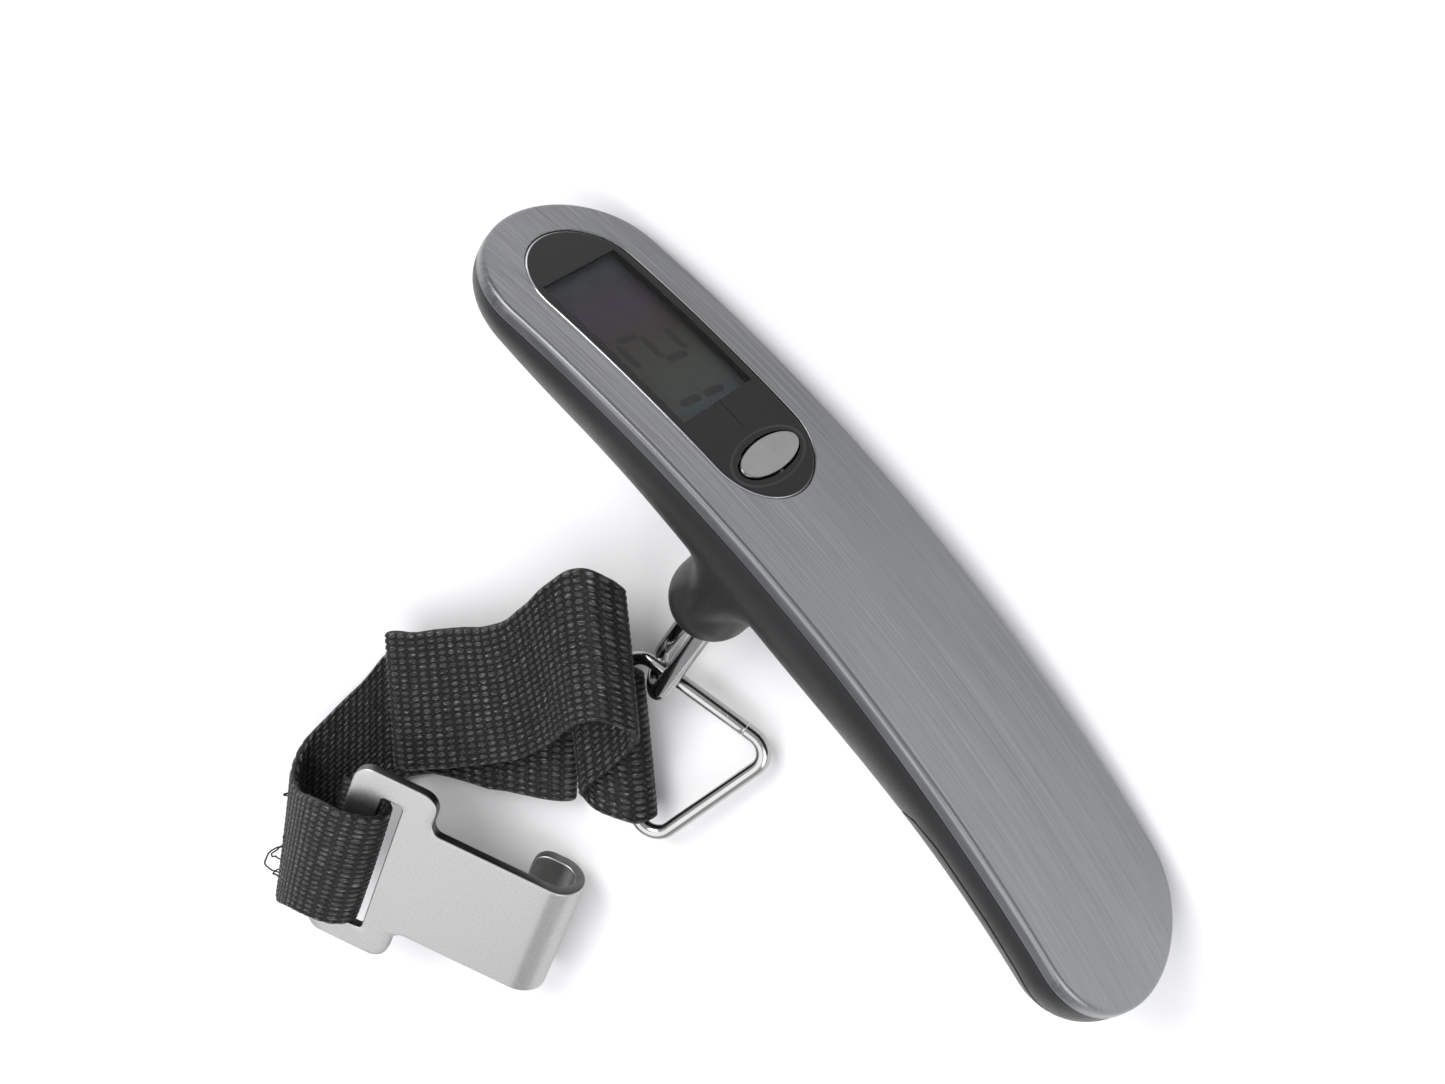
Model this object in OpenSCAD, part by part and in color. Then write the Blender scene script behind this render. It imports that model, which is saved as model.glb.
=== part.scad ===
// Digital luggage scale: an arched handle with a weighing cell inside, a wire eye below it,
// a triangular ring, a folded webbing strap and a stamped steel hook.
// It lies on its side, as it does on a table: +Z is up and z = 0 is the table.
// Millimetres throughout.

/* [Handle] */
// Length of the handle from end to end
handle_len = 143.5; // [135:0.5:150]
// Width of the handle
handle_w = 32.3; // [31:0.1:34]
// Radius that the top face is arched to
arch_r = 285; // [260:1:320]
// Length of each rounded end
cap_len = 14; // [13:0.5:16]
// Depth of the lower shell at its ends
shell_end_d = 13; // [13:0.1:14.5]
// Extra depth of the lower shell at the middle
shell_mid_d = 3.5; // [3:0.1:5]
// Wall of the plastic shells
wall = 1.5; // [1.2:0.1:1.8]
// Height of the steel cover's rim
rim_h = 2.4; // [2:0.1:3]
// Thickness of the cover's sheet steel
sheet_t = 0.6; // [0.5:0.1:0.7]

/* [Display] */
// Distance of the window's centre from the middle of the handle
window_x = 40.3; // [39:0.1:41]
// Length of the display window
window_len = 53; // [50:0.5:54]
// Width of the display window
window_w = 19.8; // [19:0.1:21]
// Distance of the button from the middle of the handle
button_x = 20.8; // [20:0.1:22]
// Length of the oval button, across the handle
button_len = 13.5; // [12:0.1:14]
// Width of the oval button, along the handle
button_w = 5.2; // [4.6:0.1:6]

/* [Weighing cell] */
// Distance of the eye's pin from the middle of the handle
eye_x = 11; // [10.5:0.1:11.5]
// Radius of the round boss under the handle
boss_r = 6.8; // [6.6:0.1:7.2]
// Length of the cell's beam
beam_len = 34; // [32:0.5:35]
// Width of the cell's beam
beam_w = 9; // [8:0.5:10]
// Thickness of the cell's beam
beam_t = 4.5; // [4:0.1:5]

/* [Eye and ring] */
// Radius of the eye's wire
eye_wire_r = 1.45; // [1.3:0.05:1.5]
// Half the distance between the eye's legs
eye_half = 3.9; // [3.7:0.1:4]
// Length of the eye from its pin to its tip
eye_len = 28; // [27:0.1:28.5]
// Radius of the ring's wire
ring_wire_r = 1.2; // [1.1:0.05:1.25]
// Length of the ring's base, between its square corners
ring_base = 36.5; // [36:0.1:38]
// Height of the ring's triangle
ring_height = 25; // [24.5:0.1:25.5]
// Bend radius of the ring's wire
ring_bend = 3.4; // [3:0.1:4]

/* [Strap and hook] */
// Width of the webbing
strap_w = 25; // [24:0.1:25.4]
// Thickness of the webbing
strap_t = 1.5; // [1.2:0.1:1.6]
// Thickness of the hook's plate
hook_t = 1.9; // [1.6:0.1:2]
// Width of the hook's plate
hook_w = 22.8; // [21:0.1:24]
// Length of the hook's plate between its head and its bend
hook_len = 21.6; // [20:0.1:24]
// Outer radius of the hook's bend
hook_bend = 4.8; // [4.5:0.1:5]
// Length of the hook's lip
hook_lip = 5; // [4:0.1:7]
// Length of the hook's head, across the plate
head_len = 36.6; // [34:0.1:38]
// Width of the hook's head, along the plate
head_w = 15; // [14.5:0.1:15.5]
// Length of the slot in the hook's head
slot_len = 27.8; // [27:0.1:29]
// Width of the slot in the hook's head
slot_w = 4; // [3.9:0.1:4.2]

/* [Hidden] */

$fn = 48;
slack = 0.1;

// How the pieces lie: the middle of the handle's face, and the lean about its long axis
lay_angle = 75;
face_place = [0, 0, 19.2];
// The ring's base lies here, turned to this heading and tipped towards its apex
ring_place = [2, 60.8, 4.5];
ring_heading = -39;
ring_tip = 4.6;
// The top of the hook's plate, where its bend starts, and the way that the plate lies
hook_place = [-12.3, 96.9, 11];
hook_turn = [4.4, 11.8, -157.0];
// The whole object moved so that the middle of its footprint is the origin
footprint = [0, -66.06, 0.5];

// Handle
cap_x = handle_len / 2 - cap_len;
nose_len = 30;
nose_x = handle_len / 2 - nose_len;
shell_gap = 0.15;
seam = 0.15;
lens_t = 1.2;
deck_top = sheet_t + 0.05;
deck_t = 1.45;
deck_low = deck_top + deck_t;
skirt_in = 2.6;
skirt_t = 1.1;
skirt_low = 4.4;
mid_fall = 30;

// Display parts, as depths below the face where the liquid-crystal panel lies flat under it
lcd_x = window_x + 5;
lcd_top = 1.8;
lcd_t = 1.8;
lcd_size = [34, 17];
zebra_h = 2.5;
board_top = lcd_top + lcd_t + zebra_h;
board_t = 1;
board_size = [48, 18];
board_end = 15;
switch_w = 6;
switch_t = 2.1;
plunger_t = 0.5;
stem_low = 1.85;

// Weighing cell
beam_top = -11;
beam_x0 = 6;
cell_screw_x = [30, 36];
stud_r = 1.5;
pin_z = -25;
pin_r = 1;
pin_fit = 0.03;
boss_z = -27.6;
boss_bore_r = 5.8;
eye_twist = 36.5;
eye_lean = 9.6;

// Batteries: two AAA cells side by side in the tail
cell_r = 5.25;
cell_len = 44.5;
cell_x = -38.4;
cell_depth = 8.3;
cell_pitch = 10.8;
door_x = -29;

// The door's edge seen from the side: place along the handle and depth below the rim
door_edge = [[door_x, 9.6], [-29.5, 7.6], [-31, 6.1], [-36, 5], [-48, 4.8], [-56, 5.1],
    [-62, 5.9], [-68, 7.2], [-80, 10]];
door_gap = 0.15;

// Each screw post: place in the handle's plan and depth of the seat under the screw's head
post_at = [[64, 0, 8.6], [-10, 9.2, 11], [-10, -9.2, 11]];
screw_tip = 3.6;
post_r = 2.4;
screw_r = 1.1;

// Webbing: each station has its centre and the heading and rise of its width, in degrees.
// The strap starts sewn round the ring's base, folds over itself and ends round the hook.
STRAP = [
    [5, 62.5, 3.5, -39, 0], [3.6, 62, 1.5, -39, 0], [2, 59.8, 0.9, -39, 0],
    [0.9, 58.2, 1.9, -39, 0], [0.1, 57.2, 4, -39, 0], [0.9, 58.2, 6.3, -39, 0],
    [2.6, 59.4, 7.1, -39, 0], [6.7, 62.4, 7.1, -39, 0], [9.6, 62.2, 8, -39, 0],
    [10.6, 59.6, 9, -39, 0], [10.6, 55.6, 9.1, -39, 0], [10.6, 51.2, 9.1, -39, 0],
    [11, 47.4, 9.7, -39, 0], [12, 45.2, 11.5, -39, 0], [14.2, 44.6, 13.7, -39, 0],
    [17.2, 46, 14.8, -39, 0], [19, 49.8, 14.2, -39, 0], [19.6, 54.6, 12.6, -39, 5],
    [19.8, 60.8, 10.4, -39, 9], [21, 68, 8.8, -41, 8], [25.6, 77, 7.4, -42, 3],
    [30.4, 85.2, 6.8, -42, 0], [32.6, 88.9, 5.6, -43, 0], [31.2, 87.6, 4.4, -44, 0],
    [25, 82.2, 3.9, -45, 0], [18, 75.8, 3.9, -45, 0], [12, 69.8, 3.8, -46, 0],
    [9.3, 66.9, 2.6, -47, 0], [11.8, 68.8, 1.3, -47, 0], [20, 76.5, 1.2, -46, 0],
    [27.5, 86, 1.2, -45, 0], [31, 94, 1.2, -46, 0], [31, 102.5, 1.3, -48, 0],
    [31, 111, 2, -50, 0], [30.6, 118.6, 4.4, -53, 2], [28, 121.2, 9, -57, 4],
    [25.4, 118.6, 14, -61, 5], [22.6, 112.6, 19, -64, 6], [18.6, 108.3, 21.3, -67, 6.2],
    [15, 106, 19.8, -67.6, 6.2], [13.9, 105.4, 16.7, -67.6, 6.2],
    [15.7, 106.1, 13.6, -67.6, 6.2], [19.6, 108.4, 12.2, -66, 6.2],
    [22.6, 110.8, 12.2, -64, 6]];
strap_steps = 3;
// The stations are moved by this much, after being drawn out away from the handle
strap_shift = -0.28;
strap_reach = 1.035;

// ---- Shapes shared by the pieces of the handle ----

function arch_z(x) = sqrt(arch_r * arch_r - x * x) - arch_r;

function outline(inset) = let (a = cap_len - inset, b = handle_w / 2 - inset) [
    for (i = [0:20]) [cap_x + a * cos(9 * i - 90), b * sin(9 * i - 90)],
    for (i = [0:20]) [a * cos(9 * i + 90) - cap_x, b * sin(9 * i + 90)]];

// A slice of the handle's plan between two depths below the arched face
module arched_layer(inset, top, bottom) {
    intersection() {
        translate([0, 0, -30])
            linear_extrude(35) polygon(outline(inset));
        translate([0, 0, -arch_r])
            rotate([90, 0, 0])
                difference() {
                    cylinder(r = arch_r - top, h = 60, center = true, $fn = 360);
                    cylinder(r = arch_r - bottom, h = 61, center = true, $fn = 360);
                }
    }
}

// Places children on the arched face, square to it
module on_arch(x) {
    translate([x, 0, arch_z(x)])
        rotate([0, asin(x / arch_r), 0])
            children();
}

module pill(length, width) {
    square([length - width, width], center = true);
    for (side = [-1, 1])
        translate([side * (length - width) / 2, 0]) circle(d = width, $fn = 72);
}

function shell_depth(x) = shell_end_d + shell_mid_d * exp(-pow(x / mid_fall, 2));

function cap_scale(x, a) = abs(x) <= cap_x ? 1 : sqrt(max(0, 1 - pow((abs(x) - cap_x) / a, 2)));

// The display end grows shallow over a longer stretch than it grows narrow
function deep_scale(x, inset) = x <= nose_x ? cap_scale(x, cap_len - inset)
    : sqrt(max(0, 1 - pow((x - nose_x) / (nose_len - inset), 2)));

// One cross-section of the shell: half an ellipse below the rim, raised by a lid if it has one
function section(x, inset, lid) =
    let (a = cap_len - inset, k = cap_scale(x, a), b = k * (handle_w / 2 - inset),
        d = deep_scale(x, inset) * (shell_depth(x) - inset), z = arch_z(x) - rim_h - seam,
        bowl = [for (i = [0:12]) [x, b * cos(15 * i), z - d * sin(15 * i)]])
    lid > 0 ? concat([[x, b, z + lid]], bowl, [[x, -b, z + lid]]) : bowl;

// Places of the cross-sections, closer together towards the rounded ends
function loft_x(inset) = let (a = cap_len - inset) [
    for (t = [88, 75, 60, 45, 30, 15]) cap_x + a * sin(t),
    for (i = [0:12]) cap_x * (1 - i / 6),
    for (t = [15, 30, 45, 60, 75, 88]) -cap_x - a * sin(t)];

// The body of the lower shell, lofted through its cross-sections
module shell_loft(inset, lid) {
    skin([for (x = loft_x(inset)) section(x, inset, lid)]);
}

// A closed solid through rings of points that all have the same number of points
module skin(rings) {
    n = len(rings[0]);
    m = len(rings);
    faces = concat(
        [[for (j = [0:n - 1]) j]],
        [for (i = [0:m - 2], j = [0:n - 1]) [i * n + j, (i + 1) * n + j, i * n + (j + 1) % n]],
        [for (i = [0:m - 2], j = [0:n - 1])
            [i * n + (j + 1) % n, (i + 1) * n + j, (i + 1) * n + (j + 1) % n]],
        [[for (j = [n - 1:-1:0]) (m - 1) * n + j]]);
    polyhedron(points = [for (r = rings, p = r) p], faces = faces, convexity = 8);
}

// The part of the tail that belongs to the battery door, seen from the side
module door_zone(gap) {
    translate([0, 30, 0])
        rotate([90, 0, 0])
            linear_extrude(60)
                polygon(concat([[door_x + gap, -40]],
                    [for (p = door_edge) [p[0] + gap, arch_z(p[0]) - rim_h - p[1] + gap]],
                    [[-80, -40]]));
}

module cells(extra) {
    for (side = [-1, 1])
        on_arch(cell_x)
            translate([-cell_len / 2 - extra, side * cell_pitch / 2, -cell_depth])
                rotate([0, 90, 0])
                    cylinder(r = cell_r + extra, h = cell_len + 2 * extra);
}

// The frame of the eye: its pin lies along local Y and it hangs down local Z
module eye_frame() {
    translate([eye_x, 0, pin_z])
        rotate([0, 0, eye_twist])
            rotate([0, eye_lean, 0])
                children();
}

// ---- How the pieces lie on the table ----

module laid() {
    translate(footprint)
        translate(face_place)
            rotate([lay_angle, 0, 0])
                children();
}

module ring_laid() {
    translate(footprint)
        translate(ring_place)
            rotate([0, 0, ring_heading])
                rotate([ring_tip, 0, 0])
                    children();
}

module hook_laid() {
    translate(footprint)
        translate(hook_place)
            rotate(hook_turn)
                children();
}

// ---- Handle ----

module top_cover() {
    color("silver") laid()
        difference() {
            union() {
                arched_layer(0, 1.1, rim_h);
                arched_layer(0.3, 0.35, 1.2);
                arched_layer(1.1, 0, 0.5);
            }
            arched_layer(sheet_t, sheet_t, rim_h + 1);
            on_arch(window_x)
                translate([0, 0, -4]) linear_extrude(8) pill(window_len, window_w);
        }
}

module top_housing() {
    color("dimgray") laid()
        difference() {
            union() {
                arched_layer(sheet_t + slack, deck_top, deck_low);
                difference() {
                    arched_layer(skirt_in, deck_low - 0.2, skirt_low);
                    arched_layer(skirt_in + skirt_t, deck_low - 0.5, skirt_low + 1);
                }
                for (p = post_at)
                    translate([p[0], p[1], arch_z(p[0]) - 8])
                        cylinder(r = post_r, h = 8 - deck_top - 0.4);
            }
            intersection() {
                arched_layer(0, -1, lens_t + slack);
                on_arch(window_x)
                    translate([0, 0, -4])
                        linear_extrude(8) pill(window_len + 2 * slack, window_w + 2 * slack);
            }
            on_arch(lcd_x)
                translate([0, 0, -5])
                    linear_extrude(8)
                        square([lcd_size[0] + 0.4, lcd_size[1] + 0.4], center = true);
            on_arch(button_x)
                translate([0, 0, -5]) linear_extrude(8) button_plan(0.6);
            for (p = post_at)
                translate([p[0], p[1], arch_z(p[0]) - 9])
                    cylinder(r = screw_r, h = 6);
        }
}

module boss_outline() {
    rotate_extrude($fn = 64)
        difference() {
            union() {
                translate([0, boss_z]) intersection() {
                    circle(r = boss_r, $fn = 64);
                    translate([0, -10]) square([10, 20]);
                }
                translate([0, boss_z]) square([boss_r, 15]);
                translate([0, -19]) square([boss_r + 3, 5]);
            }
            translate([boss_r + 3, -22]) circle(r = 3, $fn = 48);
        }
}

module lower_shell() {
    color([0.1, 0.1, 0.11]) laid()
        difference() {
            union() {
                difference() {
                    union() {
                        shell_loft(shell_gap, 0);
                        translate([eye_x, 0, 0]) boss_outline();
                    }
                    shell_loft(shell_gap + wall, 2);
                    door_zone(0);
                }
                translate([26, -5, -18]) cube([14.5, 10, 18 + beam_top - beam_t]);
                for (p = post_at)
                    translate([p[0], p[1], arch_z(p[0]) - post_floor(p)])
                        cylinder(r = post_r + 0.4, h = post_floor(p) - 8);
            }
            translate([eye_x, 0, -29.6]) cylinder(r = boss_bore_r, h = 20);
            eye_frame()
                for (side = [-1, 1])
                    translate([0, side * eye_half, -14])
                        linear_extrude(12) pill(4.9, 2 * eye_wire_r + 0.5);
            for (x = cell_screw_x)
                translate([x, 0, -17.6]) cylinder(r = screw_r, h = 6);
            for (p = post_at) {
                translate([p[0], p[1], arch_z(p[0]) - 30]) cylinder(r = screw_r + 0.3, h = 25);
                translate([p[0], p[1], arch_z(p[0]) - 30]) cylinder(r = 2.3, h = 30 - p[2]);
            }
            cells(0.15);
        }
}

// Depth below the face at which a screw post meets the shell's wall
function post_floor(p) = let (wide = cap_scale(p[0], cap_len) * handle_w / 2)
    rim_h + deep_scale(p[0], 0) * (shell_depth(p[0]) - 0.9) * sqrt(1 - pow(p[1] / wide, 2));

module battery_door() {
    color([0.1, 0.1, 0.11]) laid()
        difference() {
            intersection() {
                shell_loft(shell_gap, 0);
                door_zone(-door_gap);
            }
            shell_loft(shell_gap + wall, 2);
            cells(0.15);
        }
}

module display_lens() {
    color([0.05, 0.05, 0.06]) laid()
        intersection() {
            arched_layer(2, slack, lens_t);
            on_arch(window_x)
                translate([0, 0, -4])
                    linear_extrude(8)
                        difference() {
                            pill(window_len - slack, window_w - slack);
                            translate([button_x - window_x, 0]) button_plan(0.35);
                        }
        }
}

module lcd_panel() {
    color([0.25, 0.29, 0.26]) laid()
        on_arch(lcd_x)
            translate([-lcd_size[0] / 2, -lcd_size[1] / 2, -lcd_top - lcd_t])
                cube([lcd_size[0], lcd_size[1], lcd_t]);
}

module zebra_strips() {
    color("darkslategray") laid()
        on_arch(lcd_x)
            for (side = [-1, 1])
                translate([-14, side * 7 - 0.8, -board_top]) cube([28, 1.6, zebra_h]);
}

module circuit_board() {
    color("darkgreen") laid()
        on_arch(lcd_x)
            translate([board_end - board_size[0], -board_size[1] / 2, -board_top - board_t])
                cube([board_size[0], board_size[1], board_t]);
}

module board_chips() {
    color([0.08, 0.08, 0.08]) laid()
        on_arch(lcd_x)
            translate([0, 0, -board_top - board_t]) {
                translate([6, 0, -0.9]) cylinder(r = 4, h = 0.9);
                translate([-16, 3.6, -1.4]) cube([6, 4, 1.4]);
                translate([-8, -6.5, -1]) cube([3, 2, 1]);
            }
}

module tact_switch() {
    color("lightgray") laid()
        on_arch(lcd_x)
            translate([button_x - lcd_x, 0, -board_top]) {
                translate([-switch_w / 2, -switch_w / 2, 0]) cube([switch_w, switch_w, switch_t]);
                cylinder(r = 1.7, h = switch_t + plunger_t);
            }
}

// Plan of the oval button, grown by a margin
module button_plan(margin) {
    polygon([for (k = [0:59])
        [(button_w / 2 + margin) * cos(6 * k), (button_len / 2 + margin) * sin(6 * k)]]);
}

module power_button() {
    color("lightgray") laid()
        on_arch(button_x) {
            translate([0, 0, -0.9]) linear_extrude(1.3) button_plan(0);
            translate([0, 0, -stem_low]) cylinder(r = 1.8, h = stem_low - 0.7);
        }
}

// ---- Weighing cell ----

module load_cell() {
    color("gainsboro") laid()
        difference() {
            translate([beam_x0, -beam_w / 2, beam_top - beam_t]) cube([beam_len, beam_w, beam_t]);
            translate([eye_x, 0, beam_top - 6]) cylinder(r = stud_r + 0.05, h = 8);
            for (x = cell_screw_x)
                translate([x, 0, beam_top - 6]) cylinder(r = screw_r + 0.2, h = 8);
            for (x = [18.6, 23.4])
                translate([x, 0, beam_top - beam_t / 2])
                    rotate([90, 0, 0]) cylinder(r = 1.7, h = 12, center = true);
            translate([18.6, -6, beam_top - beam_t / 2 - 0.4]) cube([4.8, 12, 0.8]);
        }
}

module gauge_pads() {
    color("white") laid() {
        translate([17, -3, beam_top]) cube([8, 6, 0.6]);
        translate([17, -3, beam_top - beam_t - 0.6]) cube([8, 6, 0.6]);
    }
}

module cell_screws() {
    color("gray") laid()
        for (x = cell_screw_x)
            translate([x, 0, beam_top]) {
                cylinder(r = 1.9, h = 0.9);
                translate([0, 0, -6]) cylinder(r = screw_r, h = 6.5);
            }
}

module load_link() {
    color("slategray") laid()
        translate([eye_x, 0, 0])
            rotate([0, 0, eye_twist]) {
                difference() {
                    translate([-2.4, -1.9, pin_z - 2.4]) cube([4.8, 3.8, beam_top - beam_t - pin_z + 2.4]);
                    translate([0, 0, pin_z])
                        rotate([90, 0, 0]) cylinder(r = pin_r + pin_fit, h = 8, center = true);
                }
                translate([0, 0, beam_top - beam_t - 0.5]) cylinder(r = stud_r, h = beam_t + 2.6);
            }
}

module link_nut() {
    color("gray") laid()
        translate([eye_x, 0, beam_top])
            difference() {
                cylinder(r = 2.9, h = 1.9, $fn = 6);
                translate([0, 0, -1]) cylinder(r = stud_r, h = 4);
            }
}

module eye_pin() {
    color("gray") laid()
        eye_frame()
            rotate([90, 0, 0]) cylinder(r = pin_r, h = 2 * (eye_half + 1.4), center = true);
}

module eye_loop() {
    leg = eye_len - eye_half;
    color("silver") laid()
        eye_frame()
            difference() {
                union() {
                    for (side = [-1, 1])
                        translate([0, side * eye_half, -leg]) {
                            cylinder(r = eye_wire_r, h = leg);
                            translate([0, 1.4, leg]) rotate([90, 0, 0]) cylinder(r = 2, h = 2.8);
                        }
                    translate([0, 0, -leg])
                        rotate([0, 90, 0])
                            rotate([0, 0, -90])
                                rotate_extrude(angle = 180)
                                    translate([eye_half, 0]) circle(r = eye_wire_r);
                }
                rotate([90, 0, 0]) cylinder(r = pin_r, h = 20, center = true);
            }
}

// ---- Batteries and wiring ----

module battery(side) {
    on_arch(cell_x)
        translate([0, side * cell_pitch / 2, -cell_depth])
            rotate([0, side * 90, 0]) {
                translate([0, 0, -cell_len / 2]) cylinder(r = cell_r, h = cell_len - 1);
                translate([0, 0, cell_len / 2 - 1.5]) cylinder(r = 1.9, h = 1.5);
            }
}

module battery_1() { color("goldenrod") laid() battery(1); }

module battery_2() { color("goldenrod") laid() battery(-1); }

module battery_springs() {
    color("gray") laid()
        on_arch(cell_x)
            for (turn = [0:2])
                translate([cell_len / 2 + 0.5 + 0.7 * turn, -cell_pitch / 2, -cell_depth])
                    rotate([0, 90, 0])
                        rotate_extrude() translate([1.6 + 0.5 * turn, 0]) circle(r = 0.4, $fn = 16);
}

module battery_plates() {
    color("gray") laid()
        on_arch(cell_x) {
            translate([-cell_len / 2 - 0.6, -9, -cell_depth - 3]) cube([0.5, 18, 6]);
            translate([cell_len / 2 + 0.1, cell_pitch / 2 - 3.5, -cell_depth - 3]) cube([0.5, 7, 6]);
        }
}

module housing_screws() {
    color("gray") laid()
        for (p = post_at)
            translate([p[0], p[1], arch_z(p[0]) - p[2]]) {
                translate([0, 0, -1.4]) cylinder(r = 2.1, h = 1.4);
                cylinder(r = screw_r, h = p[2] - screw_tip);
            }
}

// A round wire along a list of points, with sides counted round from an upward direction
module wire(route, r, up, sides) {
    n = len(route);
    skin([for (i = [0:n - 1])
        let (t = unit(route[min(i + 1, n - 1)] - route[max(i - 1, 0)]),
            u = unit(cross(t, up)), v = cross(t, u))
        [for (k = [0:sides - 1])
            route[i] + r * (cos(360 * k / sides) * u + sin(360 * k / sides) * v)]]);
}

module sensor_leads() {
    for (k = [0:3])
        color([0.6, 0.1, 0.1]) laid()
            wire([for (s = [0:0.125:1])
                [25.4 + 2 * s, -1.8 + 1.1 * k, beam_top + 0.5 + 1.5 * sin(90 * s)]],
                0.3, [0, 1, 0.2], 6);
}

// ---- Ring, strap and hook ----

function unit(v) = v / norm(v);

// Points along the bend at a corner, on the way from the corner before it to the one after
function bend_points(last, p, next, bend) =
    let (to_last = unit(last - p), to_next = unit(next - p),
        half_angle = acos(to_last * to_next) / 2,
        centre = p + unit(to_last + to_next) * bend / sin(half_angle),
        start = p + to_last * bend / tan(half_angle) - centre,
        first = atan2(start[1], start[0]))
    [for (k = [0:6])
        let (turn = first + k * (180 - 2 * half_angle) / 6)
        [centre[0] + bend * cos(turn), centre[1] + bend * sin(turn), 0]];

// The ring's wire starts and ends at a butt joint beside its apex
function ring_route() =
    let (a = [ring_base / 2, 0], c = [-ring_base / 2, 0], b = [0, -ring_height],
        joint = b + unit(a - b) * 6.2, gap = unit(a - b) * 0.1)
    concat([[joint[0] + gap[0], joint[1] + gap[1], 0]],
        bend_points(b, a, c, ring_bend), bend_points(a, c, b, ring_bend),
        bend_points(c, b, a, ring_bend), [[joint[0], joint[1], 0]]);

module triangle_ring() {
    color("silver") ring_laid()
        wire(ring_route(), ring_wire_r, [0, 0, 1], 12);
}

// Catmull-Rom curve through rows of numbers
function curve(rows, i, t) =
    let (n = len(rows), a = rows[max(i - 1, 0)], b = rows[i],
        c = rows[min(i + 1, n - 1)], d = rows[min(i + 2, n - 1)])
    0.5 * (2 * b + (c - a) * t + (2 * a - 5 * b + 4 * c - d) * t * t
        + (3 * b - a - 3 * c + d) * t * t * t);

function strap_rows() = concat(
    [for (i = [0:len(STRAP) - 2], k = [0:strap_steps - 1]) curve(STRAP, i, k / strap_steps)],
    [STRAP[len(STRAP) - 1]]);

function across(row) = [cos(row[4]) * cos(row[3]), cos(row[4]) * sin(row[3]), sin(row[4])];

function place(row) = [row[0], strap_reach * row[1] + strap_shift, row[2]];

module strap() {
    rows = strap_rows();
    n = len(rows);
    rings = [for (i = [0:n - 1])
        let (c = place(rows[i]), w = across(rows[i]) * strap_w / 2,
            t = place(rows[min(i + 1, n - 1)]) - place(rows[max(i - 1, 0)]),
            h = unit(cross(t, w)) * strap_t / 2)
        [c + w + h, c - w + h, c - w - h, c + w - h]];
    color([0.12, 0.12, 0.12]) translate(footprint) skin(rings);
}

module hook_plan() {
    head_x = -hook_len - head_w;
    corner = 3;
    difference() {
        union() {
            translate([-hook_len - 1, -hook_w / 2]) square([hook_len + 1, hook_w]);
            translate([head_x + corner, -head_len / 2]) square([head_w - 2 * corner, head_len]);
            translate([head_x, corner - head_len / 2]) square([head_w, head_len - 2 * corner]);
            for (x = [head_x + corner, -hook_len - corner], side = [-1, 1])
                translate([x, side * (head_len / 2 - corner)]) circle(r = corner);
            for (side = [-1, 1])
                translate([-hook_len, side * (hook_w / 2 + 1)])
                    square([4, 2], center = true);
        }
        for (side = [-1, 1])
            translate([-hook_len + 2, side * (hook_w / 2 + 2)]) circle(r = 2);
        translate([-hook_len - 5.5 - slot_w, -slot_len / 2]) square([slot_w, slot_len]);
    }
}

module hook() {
    lip_corner = 3;
    color("lightgray") hook_laid() {
        translate([0, 0, -hook_t]) linear_extrude(hook_t) hook_plan();
        translate([0, 0, -hook_bend])
            rotate([90, 0, 0])
                rotate([0, 0, -90])
                    rotate_extrude(angle = 180)
                        translate([hook_bend - hook_t, -hook_w / 2]) square([hook_t, hook_w]);
        translate([0, 0, -2 * hook_bend])
            linear_extrude(hook_t) {
                translate([-hook_lip + lip_corner, -hook_w / 2])
                    square([hook_lip - lip_corner, hook_w]);
                translate([-hook_lip, lip_corner - hook_w / 2])
                    square([hook_lip, hook_w - 2 * lip_corner]);
                for (side = [-1, 1])
                    translate([lip_corner - hook_lip, side * (hook_w / 2 - lip_corner)])
                        circle(r = lip_corner);
            }
    }
}

top_cover();
top_housing();
lower_shell();
battery_door();
display_lens();
lcd_panel();
zebra_strips();
circuit_board();
board_chips();
tact_switch();
power_button();
load_cell();
gauge_pads();
cell_screws();
load_link();
link_nut();
eye_pin();
eye_loop();
battery_1();
battery_2();
battery_springs();
battery_plates();
housing_screws();
sensor_leads();
triangle_ring();
strap();
hook();
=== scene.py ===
import math

import bmesh
import bpy
import numpy as np
from mathutils import Matrix, Vector


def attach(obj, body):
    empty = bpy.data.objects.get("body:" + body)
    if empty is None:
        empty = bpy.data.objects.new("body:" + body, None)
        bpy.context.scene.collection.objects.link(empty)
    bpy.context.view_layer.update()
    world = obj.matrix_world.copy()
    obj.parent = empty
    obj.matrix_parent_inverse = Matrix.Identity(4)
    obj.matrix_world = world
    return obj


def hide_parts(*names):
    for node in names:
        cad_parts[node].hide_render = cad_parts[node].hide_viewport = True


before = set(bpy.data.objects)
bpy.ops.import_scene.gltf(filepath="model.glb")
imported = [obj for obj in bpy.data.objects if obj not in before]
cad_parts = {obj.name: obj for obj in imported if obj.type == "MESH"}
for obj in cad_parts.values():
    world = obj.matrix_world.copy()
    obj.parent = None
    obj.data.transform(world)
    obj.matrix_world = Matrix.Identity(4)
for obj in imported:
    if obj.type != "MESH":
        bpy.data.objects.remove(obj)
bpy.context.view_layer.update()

MM = 0.001

# ---------------------------------------------------------------- camera
FOOTPRINT = Vector((0, -66.06, 0.5))
FACE = Vector((0, 0, 19.2)) + FOOTPRINT
LAY = 75

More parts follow.
